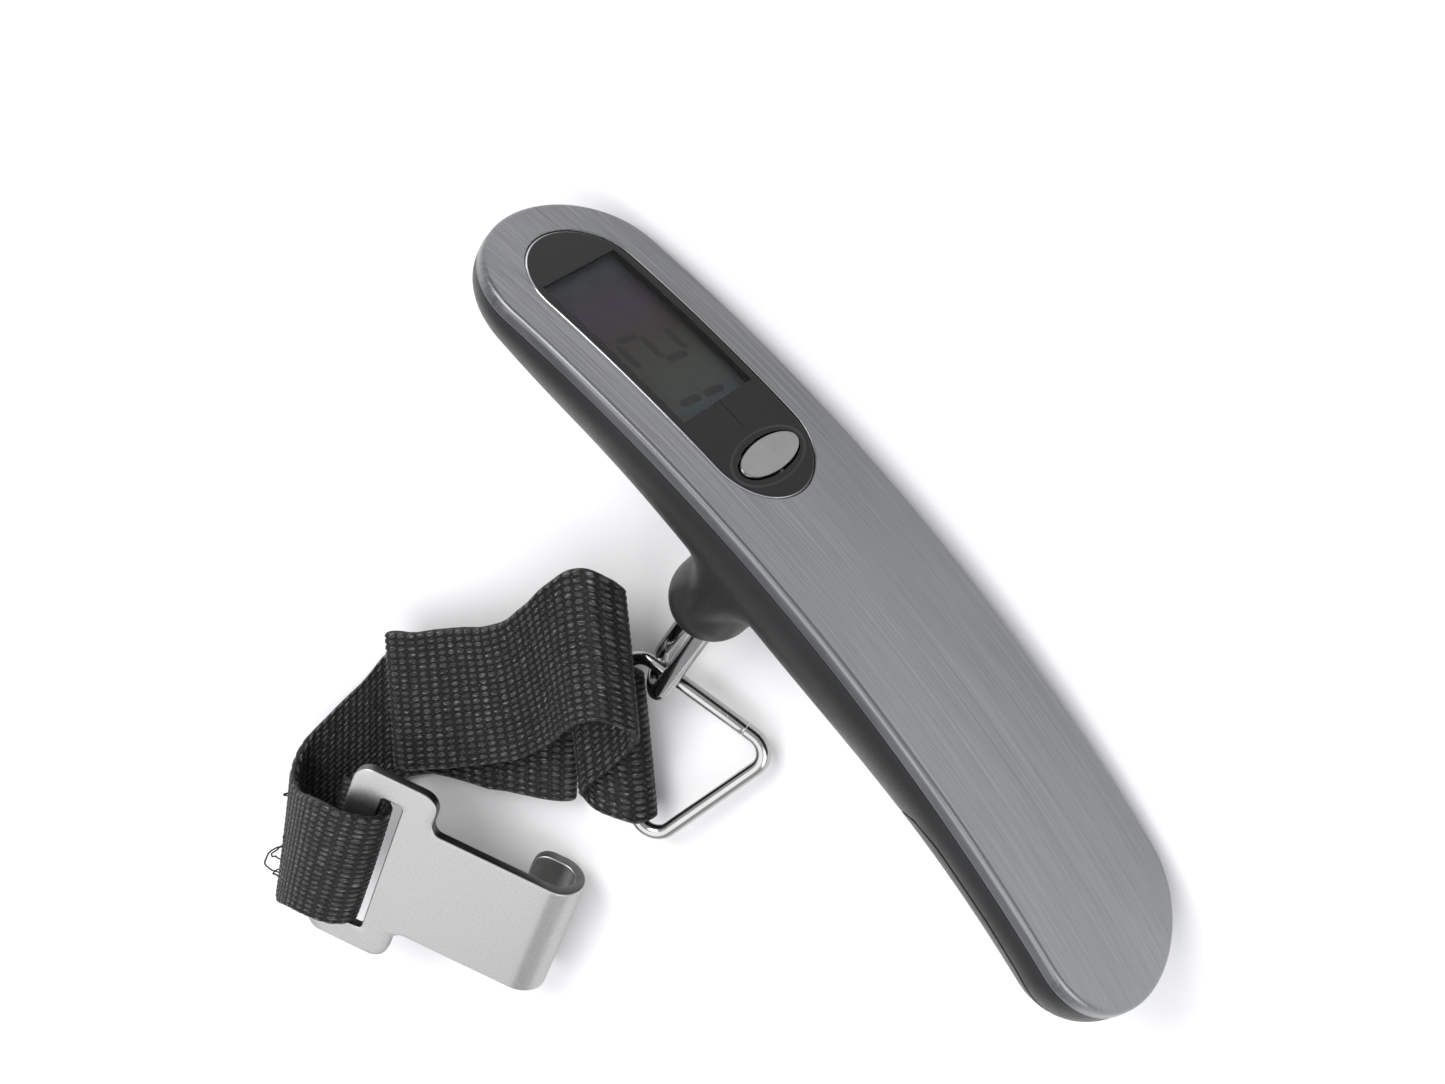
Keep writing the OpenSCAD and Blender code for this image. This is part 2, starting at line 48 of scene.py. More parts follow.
cam_data = bpy.data.cameras.new("camera")
cam = bpy.data.objects.new("camera", cam_data)
bpy.context.scene.collection.objects.link(cam)
bpy.context.scene.camera = cam
cam_data.lens = 52.9
cam_data.sensor_width = 36
cam_data.clip_start = 0.01
tilt = Matrix.Rotation(math.radians(2), 3, "X")
cam_back = (tilt @ Vector((-0.048, -0.467, 0.883))).normalized()
cam_right = tilt @ Vector((-0.634, -0.669, -0.388))
cam_right = (cam_right - cam_right.dot(cam_back) * cam_back).normalized()
cam_up = cam_back.cross(cam_right)
turn = Matrix((cam_right, cam_up, cam_back)).transposed().to_4x4()
cam.matrix_world = Matrix.Translation((FACE + tilt @ Vector((1.26, -126.64, 268.2))) * MM) @ turn

# ---------------------------------------------------------------- places, in millimetres
HANDLE = Matrix.Translation(FACE) @ Matrix.Rotation(math.radians(LAY), 4, "X")
EYE = (HANDLE @ Matrix.Translation((11, 0, -25)) @ Matrix.Rotation(math.radians(36.5), 4, "Z")
       @ Matrix.Rotation(math.radians(9.6), 4, "Y"))
RING = (Matrix.Translation(Vector((2, 60.8, 4.5)) + FOOTPRINT)
        @ Matrix.Rotation(math.radians(-39), 4, "Z") @ Matrix.Rotation(math.radians(4.6), 4, "X"))
HOOK = (Matrix.Translation(Vector((-12.3, 96.9, 11)) + FOOTPRINT)
        @ Matrix.Rotation(math.radians(-157.0), 4, "Z") @ Matrix.Rotation(math.radians(11.8), 4, "Y")
        @ Matrix.Rotation(math.radians(4.4), 4, "X"))

HANDLE_LEN, HANDLE_W, ARCH_R, CAP_LEN = 143.5, 32.3, 285.0, 14.0
CAP_X = HANDLE_LEN / 2 - CAP_LEN
RIM_H, SHEET_T = 2.4, 0.6
NOSE_LEN = 30.0
NOSE_X = HANDLE_LEN / 2 - NOSE_LEN
WINDOW_X, WINDOW_LEN, WINDOW_W = 40.3, 53.0, 19.8
BUTTON_X, BUTTON_LEN, BUTTON_W = 20.8, 13.5, 5.2
LCD_X = 45.3
EYE_X, BOSS_R, BOSS_Z = 11.0, 6.8, -27.6
EYE_HALF, EYE_LEN, EYE_R = 3.9, 28.0, 1.45


def in_metres(matrix):
    loc, rot, _ = matrix.decompose()
    return Matrix.Translation(loc * MM) @ rot.to_matrix().to_4x4()


def add(name, verts, faces, place, body, mat, smooth=35, uvs=None):
    """A new mesh piece from millimetre coordinates in its own frame."""
    mesh = bpy.data.meshes.new(name)
    mesh.from_pydata([tuple(c * MM for c in v) for v in verts], [], faces)
    mesh.validate()
    return finish_piece(mesh, name, place, body, mat, smooth, uvs)


def finish_piece(mesh, name, place, body, mat, smooth=35, uvs=None, baked=False):
    if baked:
        mesh.transform(in_metres(place))
        place = Matrix.Identity(4)
    bm = bmesh.new()
    bm.from_mesh(mesh)
    bmesh.ops.recalc_face_normals(bm, faces=bm.faces)
    bm.to_mesh(mesh)
    bm.free()
    mesh.polygons.foreach_set("use_smooth", [True] * len(mesh.polygons))
    if smooth < 180:
        mesh.set_sharp_from_angle(angle=math.radians(smooth))
    if uvs is not None:
        layer = mesh.uv_layers.new(name="UVMap")
        for loop in mesh.loops:
            layer.data[loop.index].uv = uvs(mesh.vertices[loop.vertex_index].co, loop.vertex_index)
    obj = bpy.data.objects.new(name, mesh)
    bpy.context.scene.collection.objects.link(obj)
    obj.matrix_world = in_metres(place)
    mesh.materials.clear()
    mesh.materials.append(mat)
    if body:
        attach(obj, body)
    return obj


def scratch(name, verts, faces):
    mesh = bpy.data.meshes.new(name)
    mesh.from_pydata([tuple(c * MM for c in v) for v in verts], [], faces)
    mesh.validate()
    bm = bmesh.new()
    bm.from_mesh(mesh)
    bmesh.ops.recalc_face_normals(bm, faces=bm.faces)
    bm.to_mesh(mesh)
    bm.free()
    obj = bpy.data.objects.new(name, mesh)
    bpy.context.scene.collection.objects.link(obj)
    return obj


def carve(base, steps):
    """Runs booleans on a scratch object and returns the resulting mesh; removes that scratch object."""
    for i, (kind, tool) in enumerate(steps):
        mod = base.modifiers.new("cut%d" % i, "BOOLEAN")
        mod.operation = kind
        mod.object = tool
        mod.solver = "EXACT"
    bpy.context.view_layer.update()
    dg = bpy.context.evaluated_depsgraph_get()
    mesh = bpy.data.meshes.new_from_object(base.evaluated_get(dg))
    bpy.data.objects.remove(base)
    return mesh


def drop(*objs):
    for o in objs:
        bpy.data.objects.remove(o)


def skin(rings, closed_ends=True):
    """Vertices and faces of a surface through rings with the same number of points."""
    n = len(rings[0])
    verts = [p for r in rings for p in r]
    faces = [(i * n + j, (i + 1) * n + j, (i + 1) * n + (j + 1) % n, i * n + (j + 1) % n)
             for i in range(len(rings) - 1) for j in range(n)]
    if closed_ends:
        faces.append(tuple(range(n)))
        faces.append(tuple(range((len(rings) - 1) * n, len(rings) * n)))
    return verts, faces


def prism(points, z0, z1):
    n = len(points)
    verts = [(x, y, z0) for x, y in points] + [(x, y, z1) for x, y in points]
    faces = [(j, (j + 1) % n, n + (j + 1) % n, n + j) for j in range(n)]
    faces += [tuple(range(n)), tuple(range(n, 2 * n))]
    return verts, faces


# Spacing of the webbing's ribs across it and of the weft along it, in millimetres
RIB, PICK = 25.0 / 22, 2.1
UV_LEN = 211.0


# ---------------------------------------------------------------- materials
class Nodes:
    """Short way to wire a procedural material."""

    def __init__(self, name):
        self.mat = bpy.data.materials.new(name)
        self.mat.use_nodes = True
        self.tree = self.mat.node_tree
        self.bsdf = self.tree.nodes["Principled BSDF"]
        self.out = self.tree.nodes["Material Output"]

    def new(self, kind, settings=None, **inputs):
        node = self.tree.nodes.new("ShaderNode" + kind)
        for key, value in (settings or {}).items():
            setattr(node, key, value)
        for key, value in inputs.items():
            self.plug(node, key.replace("_", " "), value)
        return node

    def plug(self, node, socket, value):
        numbered = socket[0] == "i" and socket[1:].isdigit()
        target = node.inputs[int(socket[1:]) if numbered else socket]
        if isinstance(value, bpy.types.Node):
            value = value.outputs[0]
        if isinstance(value, bpy.types.NodeSocket):
            self.tree.links.new(value, target)
        else:
            target.default_value = value

    def math(self, op, a, b=0.0, c=0.0, clamp=False):
        node = self.new("Math", {"operation": op, "use_clamp": clamp})
        for i, v in enumerate((a, b, c)):
            self.plug(node, "i%d" % i, v)
        return node.outputs[0]

    def coords(self, scale=(1, 1, 1), which="Object", rotation=(0, 0, 0)):
        tc = self.new("TexCoord")
        return self.new("Mapping", None, Vector=tc.outputs[which], Scale=scale, Rotation=rotation).outputs[0]

    def noise(self, scale, detail=4.0, rough=0.55, vector=None, distortion=0.0):
        return self.new("TexNoise", None, Vector=vector or self.coords(), Scale=scale, Detail=detail,
                        Roughness=rough, Distortion=distortion).outputs[0]

    def ramp(self, value, *stops):
        node = self.new("ValToRGB", None, Fac=value)
        ramp = node.color_ramp
        while len(ramp.elements) < len(stops):
            ramp.elements.new(0.5)
        for e, (at, col) in zip(ramp.elements, stops):
            e.position = at
            e.color = (col, col, col, 1) if isinstance(col, (int, float)) else (*col, 1)
        return node.outputs[0]

    def remap(self, value, a, b, c, d):
        return self.new("MapRange", None, Value=value, From_Min=a, From_Max=b, To_Min=c, To_Max=d).outputs[0]

    def mix(self, fac, a, b):
        node = self.new("Mix", {"data_type": "RGBA"})
        self.plug(node, "i0", fac)
        self.plug(node, "i6", a)
        self.plug(node, "i7", b)
        return node.outputs[2]

    def bump(self, height, distance, strength=1.0, normal=None):
        node = self.new("Bump", None, Height=height, Distance=distance, Strength=strength)
        if normal is not None:
            self.plug(node, "Normal", normal)
        return node.outputs[0]

    def set(self, **values):
        for key, value in values.items():
            self.plug(self.bsdf, key.replace("_", " "), value)
        return self


def rgb(r, g, b):
    return (r, g, b, 1)


def brushed_cover():
    n = Nodes("brushed_cover")
    fine = n.noise(1.0, 3, 0.6, n.coords((70, 9000, 300)))
    long = n.noise(1.0, 2, 0.5, n.coords((12, 3600, 300)))
    broad = n.noise(1.0, 2, 0.5, n.coords((10, 60, 10)))
    hair = n.ramp(n.noise(1.0, 1, 0.5, n.coords((26, 4200, 300))), (0.70, 0.0), (0.76, 1.0))
    streak = n.math("ADD", n.math("MULTIPLY", fine, 0.5), n.math("MULTIPLY", long, 0.5))
    base = n.mix(n.remap(streak, 0.35, 0.65, 0, 1), rgb(0.145, 0.147, 0.148), rgb(0.27, 0.272, 0.273))
    base = n.mix(n.math("MULTIPLY", hair, 0.5), base, rgb(0.40, 0.40, 0.40))
    base = n.mix(n.remap(broad, 0.3, 0.7, 0.0, 0.25), base, rgb(0.13, 0.132, 0.134))
    # Painted reflection: the cover is coloured lighter and bluer towards its tail end
    along = n.new("SeparateXYZ", None, Vector=n.new("TexCoord").outputs["Object"]).outputs[0]
    base = n.mix(n.remap(along, 30 * MM, -70 * MM, 0, 0.32), base, rgb(0.36, 0.375, 0.385))
    rough = n.math("ADD", n.remap(streak, 0.3, 0.7, 0.27, 0.40), n.math("MULTIPLY", hair, 0.06))
    tangent = n.new("Tangent", {"direction_type": "UV_MAP"})
    n.set(Base_Color=base, Metallic=1.0, Roughness=rough, Anisotropic=0.7, Tangent=tangent.outputs[0],
          Normal=n.bump(n.math("ADD", streak, n.math("MULTIPLY", hair, 0.3)), 0.000012, 0.9))
    return n.mat


def metal(name, colour, rough, scratch=0.3, pits=0.0, dull=0.15, scale=1.0):
    n = Nodes(name)
    cloud = n.noise(90 * scale, 5, 0.6)
    fine = n.noise(1.0, 4, 0.65, n.coords((400 * scale, 2300 * scale, 900 * scale)))
    lines = n.ramp(n.noise(1.0, 2, 0.5, n.coords((120, 3100, 700), rotation=(0.2, 0.5, 0.9))),
                   (0.66, 0.0), (0.72, 1.0))
    dark = tuple(c * (1 - dull) for c in colour)
    base = n.mix(n.remap(cloud, 0.35, 0.7, 0, 1), rgb(*colour), rgb(*dark))
    base = n.mix(n.math("MULTIPLY", lines, scratch * 0.5), base, rgb(*[min(1, c * 1.25) for c in colour]))
    height = n.math("ADD", n.math("MULTIPLY", fine, 0.4), n.math("MULTIPLY", lines, -0.6))
    if pits:
        vor = n.new("TexVoronoi", None, Vector=n.coords(), Scale=260.0)
        pit = n.ramp(vor.outputs["Distance"], (0.03, 1.0), (0.09, 0.0))
        mask = n.ramp(n.noise(60, 2, 0.5), (0.56, 0.0), (0.66, 1.0))
        spot = n.math("MULTIPLY", pit, mask)
        base = n.mix(n.math("MULTIPLY", spot, pits), base, rgb(0.12, 0.11, 0.10))
        height = n.math("SUBTRACT", height, n.math("MULTIPLY", spot, 1.5))
    r = n.math("ADD", n.remap(cloud, 0.3, 0.7, rough * 0.75, rough * 1.3), n.math("MULTIPLY", lines, 0.08))
    n.set(Base_Color=base, Metallic=1.0, Roughness=r, Normal=n.bump(height, 0.000012, 0.6))
    return n.mat


def satin(name, colour, rough):
    """Plated sheet steel with an even fine grain, a few dark specks and faint scratches."""
    n = Nodes(name)
    grain = n.noise(2400, 4, 0.65)
    broad = n.noise(35, 2, 0.5)
    lines = n.ramp(n.noise(1.0, 2, 0.5, n.coords((140, 2900, 700), rotation=(0.2, 0.5, 0.9))),
                   (0.69, 0.0), (0.73, 1.0))
    speck = n.ramp(n.new("TexVoronoi", None, Vector=n.coords(), Scale=210.0).outputs["Distance"],
                   (0.02, 1.0), (0.05, 0.0))
    speck = n.math("MULTIPLY", speck, n.ramp(n.noise(90, 2, 0.5), (0.60, 0.0), (0.66, 1.0)))
    base = n.mix(n.remap(grain, 0.35, 0.65, 0, 1),
                 rgb(*[c * 0.90 for c in colour]), rgb(*[c * 1.08 for c in colour]))
    base = n.mix(n.remap(broad, 0.3, 0.7, 0, 0.12), base, rgb(*[c * 0.8 for c in colour]))
    base = n.mix(n.math("MULTIPLY", lines, 0.25), base, rgb(*[c * 1.3 for c in colour]))
    base = n.mix(n.math("MULTIPLY", speck, 0.8), base, rgb(0.10, 0.09, 0.08))
    height = n.math("SUBTRACT", n.math("MULTIPLY", grain, 0.5), n.math("ADD", lines, speck))
    n.set(Base_Color=base, Metallic=1.0, Roughness=n.remap(grain, 0.3, 0.7, rough - 0.04, rough + 0.04),
          Normal=n.bump(height, 0.000008, 0.6))
    return n.mat


def plastic(name, colour, rough, grain=900, depth=0.00002, edge_highlight=0.0, coat=0.0, spec=0.5):
    n = Nodes(name)
    cloud = n.noise(60, 4, 0.6)
    tex = n.noise(grain, 5, 0.6)
    light = tuple(min(1, c * 1.5 + 0.004) for c in colour)
    base = n.mix(n.remap(cloud, 0.3, 0.7, 0, 1), rgb(*colour), rgb(*light))
    smear = n.ramp(n.noise(30, 6, 0.7, distortion=0.6), (0.45, 0.0), (0.7, 1.0))
    r = n.math("ADD", n.remap(tex, 0.3, 0.7, rough - 0.05, rough + 0.05), n.math("MULTIPLY", smear, 0.07))
    if edge_highlight:
        # Painted highlight: sharp edges are coloured lighter, by the given strength
        geo = n.new("NewGeometry")
        edge = n.ramp(geo.outputs["Pointiness"], (0.52, 0.0), (0.60, 1.0))
        base = n.mix(n.math("MULTIPLY", edge, edge_highlight), base, rgb(0.14, 0.14, 0.14))
    n.set(Base_Color=base, Roughness=r, Coat_Weight=coat, Coat_Roughness=0.12, Specular_IOR_Level=spec,
          Normal=n.bump(tex, depth, 0.5))
    return n.mat


def lens_material():
    n = Nodes("display_glass")
    tc = n.new("TexCoord")
    sep = n.new("SeparateXYZ", None, Vector=tc.outputs["Object"])
    x, y = sep.outputs[0], sep.outputs[1]
    along = n.math("ABSOLUTE", n.math("SUBTRACT", x, 45.15 * MM))
    wide = n.math("ABSOLUTE", y)
    inside = n.math("MULTIPLY", n.remap(along, 13.8 * MM, 13.9 * MM, 1, 0),
                    n.remap(wide, 8.2 * MM, 8.3 * MM, 1, 0))
    dust = n.ramp(n.noise(1500, 3, 0.6), (0.66, 0.0), (0.74, 1.0))
    # A shallow ring moulded round the button
    ring_x = n.math("DIVIDE", n.math("SUBTRACT", x, BUTTON_X * MM), (BUTTON_W / 2 + 1.3) * MM)
    ring_y = n.math("DIVIDE", y, (BUTTON_LEN / 2 + 1.3) * MM)
    turn = n.math("SQRT", n.math("ADD", n.math("POWER", ring_x, 2), n.math("POWER", ring_y, 2)))
    moat = n.remap(n.math("ABSOLUTE", n.math("SUBTRACT", turn, 1.0)), 0.01, 0.06, 1, 0)
    smear = n.noise(45, 5, 0.65, distortion=0.8)
    base = n.mix(inside, rgb(0.004, 0.004, 0.0045), rgb(0.02, 0.02, 0.021))
    base = n.mix(n.math("MULTIPLY", dust, 0.04), base, rgb(0.4, 0.4, 0.4))
    base = n.mix(n.math("MULTIPLY", moat, 0.5), base, rgb(0.03, 0.03, 0.032))
    height = n.math("SUBTRACT", n.math("MULTIPLY", n.noise(70, 3, 0.5), 0.1), moat)
    # Painted highlight: the window's polished edge is coloured bright and made metallic, most strongly on its
    # upper side
    lean = n.new("SeparateXYZ", None, Vector=tc.outputs["Normal"]).outputs[2]
    edge = n.math("MULTIPLY", n.remap(lean, 0.25, 0.55, 0, 1), n.remap(lean, 0.80, 0.93, 1, 0))
    edge = n.math("MULTIPLY", edge, n.remap(y, -9.5 * MM, 6 * MM, 0.08, 1))
    base = n.mix(edge, base, rgb(0.75, 0.76, 0.77))
    n.set(Base_Color=base, Roughness=n.remap(smear, 0.3, 0.7, 0.03, 0.08), IOR=1.46,
          Alpha=n.math("SUBTRACT", 1.0, n.math("MULTIPLY", inside, 0.74)),
          Metallic=edge,
          Specular_IOR_Level=0.25,
          Normal=n.bump(height, 0.00012, 0.6))
    return n.mat


def lcd_material():
    n = Nodes("lcd_face")
    tc = n.new("TexCoord")
    sep = n.new("SeparateXYZ", None, Vector=tc.outputs["Object"])
    along = n.remap(sep.outputs[0], 31 * MM, 60 * MM, 0, 1)
    shift = n.math("ADD", along, n.remap(n.noise(70, 3, 0.5, distortion=1.0), 0.3, 0.7, -0.10, 0.10))
    col = n.ramp(shift, (0.0, (0.085, 0.115, 0.115)), (0.30, (0.095, 0.10, 0.07)),
                 (0.55, (0.08, 0.065, 0.06)),
                 (0.72, (0.085, 0.055, 0.09)), (0.86, (0.06, 0.06, 0.075)), (1.0, (0.07, 0.095, 0.095)))
    grain = n.noise(2600, 2, 0.5)
    col = n.mix(n.math("MULTIPLY", grain, 0.15), col, rgb(0.12, 0.12, 0.115))
    n.set(Base_Color=col, Roughness=n.remap(grain, 0.3, 0.7, 0.30, 0.42), Specular_IOR_Level=0.15,
          Normal=n.bump(grain, 0.00001, 0.3))
    return n.mat


def webbing(name="black_webbing"):
    """Coarse warp ribs crossed by the weft, from the strap's own coordinates in millimetres."""
    n = Nodes(name)
    tc = n.new("TexCoord")
    sep = n.new("SeparateXYZ", None, Vector=tc.outputs["UV"])
    u = n.math("MULTIPLY", sep.outputs[0], 25.0)
    v = n.math("MULTIPLY", sep.outputs[1], UV_LEN)

    def ovals(shift, tall, long):
        """Soft ovals one per rib and pick, and the number of the cell each lies in."""
        rib = n.math("ADD", n.math("DIVIDE", u, RIB), shift)
        pick = n.math("ADD", n.math("DIVIDE", v, PICK), shift)
        across = n.math("SUBTRACT", n.math("FRACT", rib), 0.5)
        over = n.math("SUBTRACT", n.math("FRACT", pick), 0.5)
        far = n.math("ADD", n.math("POWER", n.math("DIVIDE", across, tall), 2),
                     n.math("POWER", n.math("DIVIDE", over, long), 2))
        cell = n.new("CombineXYZ", None, X=n.math("FLOOR", rib), Y=n.math("FLOOR", pick))
        return (n.remap(far, 0.3, 1.0, 1, 0),
                n.new("TexWhiteNoise", {"noise_dimensions": "2D"}, Vector=cell).outputs[0])

    large, luck = ovals(0.0, 0.46, 0.43)
    small, _ = ovals(0.5, 0.26, 0.13)
    shape = n.math("MAXIMUM", large, n.math("MULTIPLY", small, 0.25))
    pick = n.new("TexWhiteNoise", {"noise_dimensions": "1D"},
                 W=n.math("FLOOR", n.math("DIVIDE", v, PICK))).outputs[0]
    strand = n.noise(1.0, 3, 0.6, n.coords((150, 9, 1), "UV"))
    yarn = n.new("TexWave", {"wave_type": "BANDS", "bands_direction": "X"},
                 Vector=n.coords((25.0, 5.0, 1), "UV"), Scale=2.2, Distortion=2.4, Detail=2.0)
    height = n.math("ADD", shape, n.math("MULTIPLY", yarn.outputs[1], 0.22))
    height = n.math("ADD", height, n.math("MULTIPLY", strand, 0.30))
    # Painted highlight on the raised weave and painted shade in its gaps: the ovals are coloured lighter in
    # uneven patches, the gaps near-black
    sheen_patches = n.noise(1.0, 4, 0.6, n.coords((3, 30, 1), "UV"))
    weave_sheen = n.math("MULTIPLY", shape, n.math("MULTIPLY", n.remap(sheen_patches, 0.3, 0.7, 0.45, 1.0),
                                            n.remap(luck, 0, 1, 0.30, 1.0)))
    weave_sheen = n.math("MULTIPLY", weave_sheen, n.remap(pick, 0, 1, 0.55, 1.0))
    weave_sheen = n.math("MULTIPLY", weave_sheen, n.remap(strand, 0.3, 0.65, 0.35, 1.0))
    base = n.mix(weave_sheen, rgb(0.0012, 0.0012, 0.0014), rgb(0.105, 0.105, 0.107))
    glint = n.ramp(n.noise(1.0, 2, 0.5, n.coords((210, 160, 1), "UV")), (0.58, 0.0), (0.68, 1.0))
    base = n.mix(n.math("MULTIPLY", n.math("MULTIPLY", glint, shape), 0.7), base, rgb(0.42, 0.42, 0.425))
    n.set(Base_Color=base, Roughness=n.remap(strand, 0.3, 0.7, 0.38, 0.60),
          Sheen_Weight=0.02, Sheen_Roughness=0.5, Specular_IOR_Level=0.32, Normal=n.bump(height, 0.00022, 0.9))
    return n.mat


def battery_jacket():
    n = Nodes("battery_jacket")
    sep = n.new("SeparateXYZ", None, Vector=n.new("TexCoord").outputs["Object"])
    band = n.ramp(n.remap(sep.outputs[0], -60 * MM, -15 * MM, 0, 1), (0.0, (0.42, 0.27, 0.05)),
                  (0.30, (0.42, 0.27, 0.05)), (0.32, (0.02, 0.02, 0.02)), (0.97, (0.03, 0.03, 0.03)))
    n.set(Base_Color=n.mix(n.math("MULTIPLY", n.noise(300, 3), 0.1), band, rgb(0.5, 0.5, 0.5)),
          Metallic=0.35, Roughness=n.remap(n.noise(80, 4), 0.3, 0.7, 0.22, 0.36),
          Normal=n.bump(n.noise(500, 3), 0.00001))
    return n.mat


def board_material():
    n = Nodes("board_green")
    brick = n.new("TexBrick", None, Vector=n.coords((1, 1, 1)), Scale=420.0, Color1=rgb(0.01, 0.11, 0.04),
                  Color2=rgb(0.015, 0.15, 0.06), Mortar=rgb(0.03, 0.24, 0.10), Mortar_Size=0.03)
    n.set(Base_Color=brick.outputs[0], Roughness=n.remap(n.noise(200, 3), 0.3, 0.7, 0.28, 0.42),
          Normal=n.bump(brick.outputs[1], 0.00004, 0.6))
    return n.mat


MAT = {
    "brushed_cover": brushed_cover(),
    # soft_black gets a faint painted highlight on its sharp edges
    "soft_black": plastic("soft_black", (0.0032, 0.0032, 0.0036), 0.38, 1400, 0.000016, 0.04, 0.0, 0.38),
    "black_plastic": plastic("black_plastic", (0.02, 0.02, 0.02), 0.5),
    "lens": lens_material(),
    "lcd": lcd_material(),
    "dark_rubber": plastic("dark_rubber", (0.02, 0.02, 0.021), 0.6, 700, 0.00003),
    "board": board_material(),
    "chip": plastic("chip_black", (0.015, 0.015, 0.015), 0.45, 1100, 0.00002),
    "spring_steel": metal("spring_steel", (0.50, 0.50, 0.49), 0.24),
    "button": metal("silver_button", (0.26, 0.258, 0.255), 0.30, 0.15, 0.0, 0.06, 3.0),
    "aluminium": metal("cell_aluminium", (0.60, 0.61, 0.62), 0.32),
    "chrome": metal("bright_chrome", (0.46, 0.455, 0.45), 0.13, 0.25, 0.15, 0.10, 1.5),
    "battery": battery_jacket(),
    "webbing": webbing(),
    "hook_face": satin("satin_steel", (0.46, 0.457, 0.45), 0.38),
    "hook_edge": metal("cut_edge", (0.15, 0.147, 0.143), 0.38, 0.2, 0.2, 0.3, 3.0),
    "thread": plastic("loose_thread", (0.003, 0.003, 0.003), 0.6, 2500, 0.00002, 0.0, 0.0, 0.2),
    "segment": plastic("lcd_segment", (0.012, 0.011, 0.010), 0.35, 1500, 0.00001),
}


# ---------------------------------------------------------------- handle shapes
def arch_z(x):
    return math.sqrt(ARCH_R ** 2 - x * x) - ARCH_R


def evenly(points, count):
    """A closed outline resampled to evenly spaced points."""
    p = np.array(points + [points[0]], float)
    s = np.concatenate([[0], np.cumsum(np.linalg.norm(np.diff(p, axis=0), axis=1))])
    t = np.linspace(0, s[-1], count, endpoint=False)
    return np.stack([np.interp(t, s, p[:, k]) for k in range(2)], 1)


def plan(inset, count):
    """The handle's outline from its display end, counter-clockwise."""
    a, b = CAP_LEN - inset, HANDLE_W / 2 - inset
    half = [(CAP_X + a * math.cos(t), b * math.sin(t)) for t in np.linspace(0, math.pi / 2, 60)]
    half += [(x, b) for x in np.linspace(CAP_X, -CAP_X, 60)[1:-1]]
    half += [(-CAP_X - a * math.sin(t), b * math.cos(t)) for t in np.linspace(0, math.pi / 2, 60)]
    return evenly(half + [(x, -y) for x, y in reversed(half[1:-1])], count)


def pill(length, width, count):
    r, h = width / 2, (length - width) / 2
    half = [(h + r * math.cos(t), r * math.sin(t)) for t in np.linspace(0, math.pi / 2, 40)]
    half += [(x, r) for x in np.linspace(h, -h, 40)[1:-1]]
    half += [(-h - r * math.sin(t), r * math.cos(t)) for t in np.linspace(0, math.pi / 2, 40)]
    return evenly(half + [(x, -y) for x, y in reversed(half[1:-1])], count)


def at_window(p):
    """A point of the window's own slanted plan, moved to the handle's plan."""
    lean = math.asin(WINDOW_X / ARCH_R)
    return (WINDOW_X + p[0] * math.cos(lean) - p[0] ** 2 / (2 * ARCH_R) * math.sin(lean), p[1])


def on_arch(points, depth):
    return [(x, y, arch_z(x) - depth) for x, y in points]


def make_cover():
    count = 320
    edge = 0.8
    rings = []
    for inset, depth in ((0.62, 1.6), (0.60, RIM_H - 0.12), (0.48, RIM_H), (0.12, RIM_H),
                         (0.02, RIM_H - 0.10), (0.0, RIM_H - 0.3), (0.0, edge + 0.25)):
        rings.append(on_arch(plan(inset, count), depth))
    for t in np.linspace(0, 90, 9):
        a = math.radians(t)
        rings.append(on_arch(plan(edge * (1 - math.cos(a)), count), edge * (1 - math.sin(a))))
    outer = plan(edge + 0.15, count)
    hole = np.array([at_window(p) for p in pill(WINDOW_LEN + 0.5, WINDOW_W + 0.5, count)])
    for t in np.linspace(0, 1, 34):
        rings.append(on_arch(outer * (1 - t) + hole * t, 0))
    for grow, depth in ((0.20, 0.04), (0.06, 0.16), (0.0, 0.26), (0.0, 0.45), (0.02, SHEET_T)):
        rings.append(on_arch([at_window(p) for p in pill(WINDOW_LEN + grow, WINDOW_W + grow, count)], depth))
    verts, faces = skin(rings, False)
    obj = add("cover", verts, faces, HANDLE, "handle", MAT["brushed_cover"], 180,
              lambda co, i: (co.x / 0.1, co.y / 0.1))
    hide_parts("top_cover")


def cap_scale(x, a):
    return 1.0 if abs(x) <= CAP_X else math.sqrt(max(0.0, 1 - ((abs(x) - CAP_X) / a) ** 2))


def deep_scale(x, inset):
    """The display end grows shallow over a longer stretch than it grows narrow."""
    if x <= NOSE_X:
        return cap_scale(x, CAP_LEN - inset)
    return math.sqrt(max(0.0, 1 - ((x - NOSE_X) / (NOSE_LEN - inset)) ** 2))


def shell_rings(inset, lid, stations, sides):
    rings = []
    a = CAP_LEN - inset
    xs = [CAP_X + a * math.sin(math.radians(t)) for t in np.linspace(89, 4, 22)]
    xs += list(np.linspace(CAP_X, -CAP_X, stations))
    xs += [-CAP_X - a * math.sin(math.radians(t)) for t in np.linspace(4, 89, 22)]
    for x in xs:
        k = cap_scale(x, a)
        b = k * (HANDLE_W / 2 - inset)
        d = deep_scale(x, inset) * (13.0 + 3.5 * math.exp(-(x / 30.0) ** 2) - inset)
        z = arch_z(x) - RIM_H - 0.15
        ring = [(x, b * math.cos(t), z - d * math.sin(t)) for t in np.linspace(0, math.pi, sides)]
        if lid:
            ring = [(x, b, z + lid)] + ring + [(x, -b, z + lid)]
        rings.append(ring)
    return rings


def lathe(profile, x, sides=96):
    """A solid of revolution about a line along Z through x."""
    rings = [[(x + r * math.cos(2 * math.pi * k / sides), r * math.sin(2 * math.pi * k / sides), z)
              for k in range(sides)] for r, z in profile]
    return skin(rings)


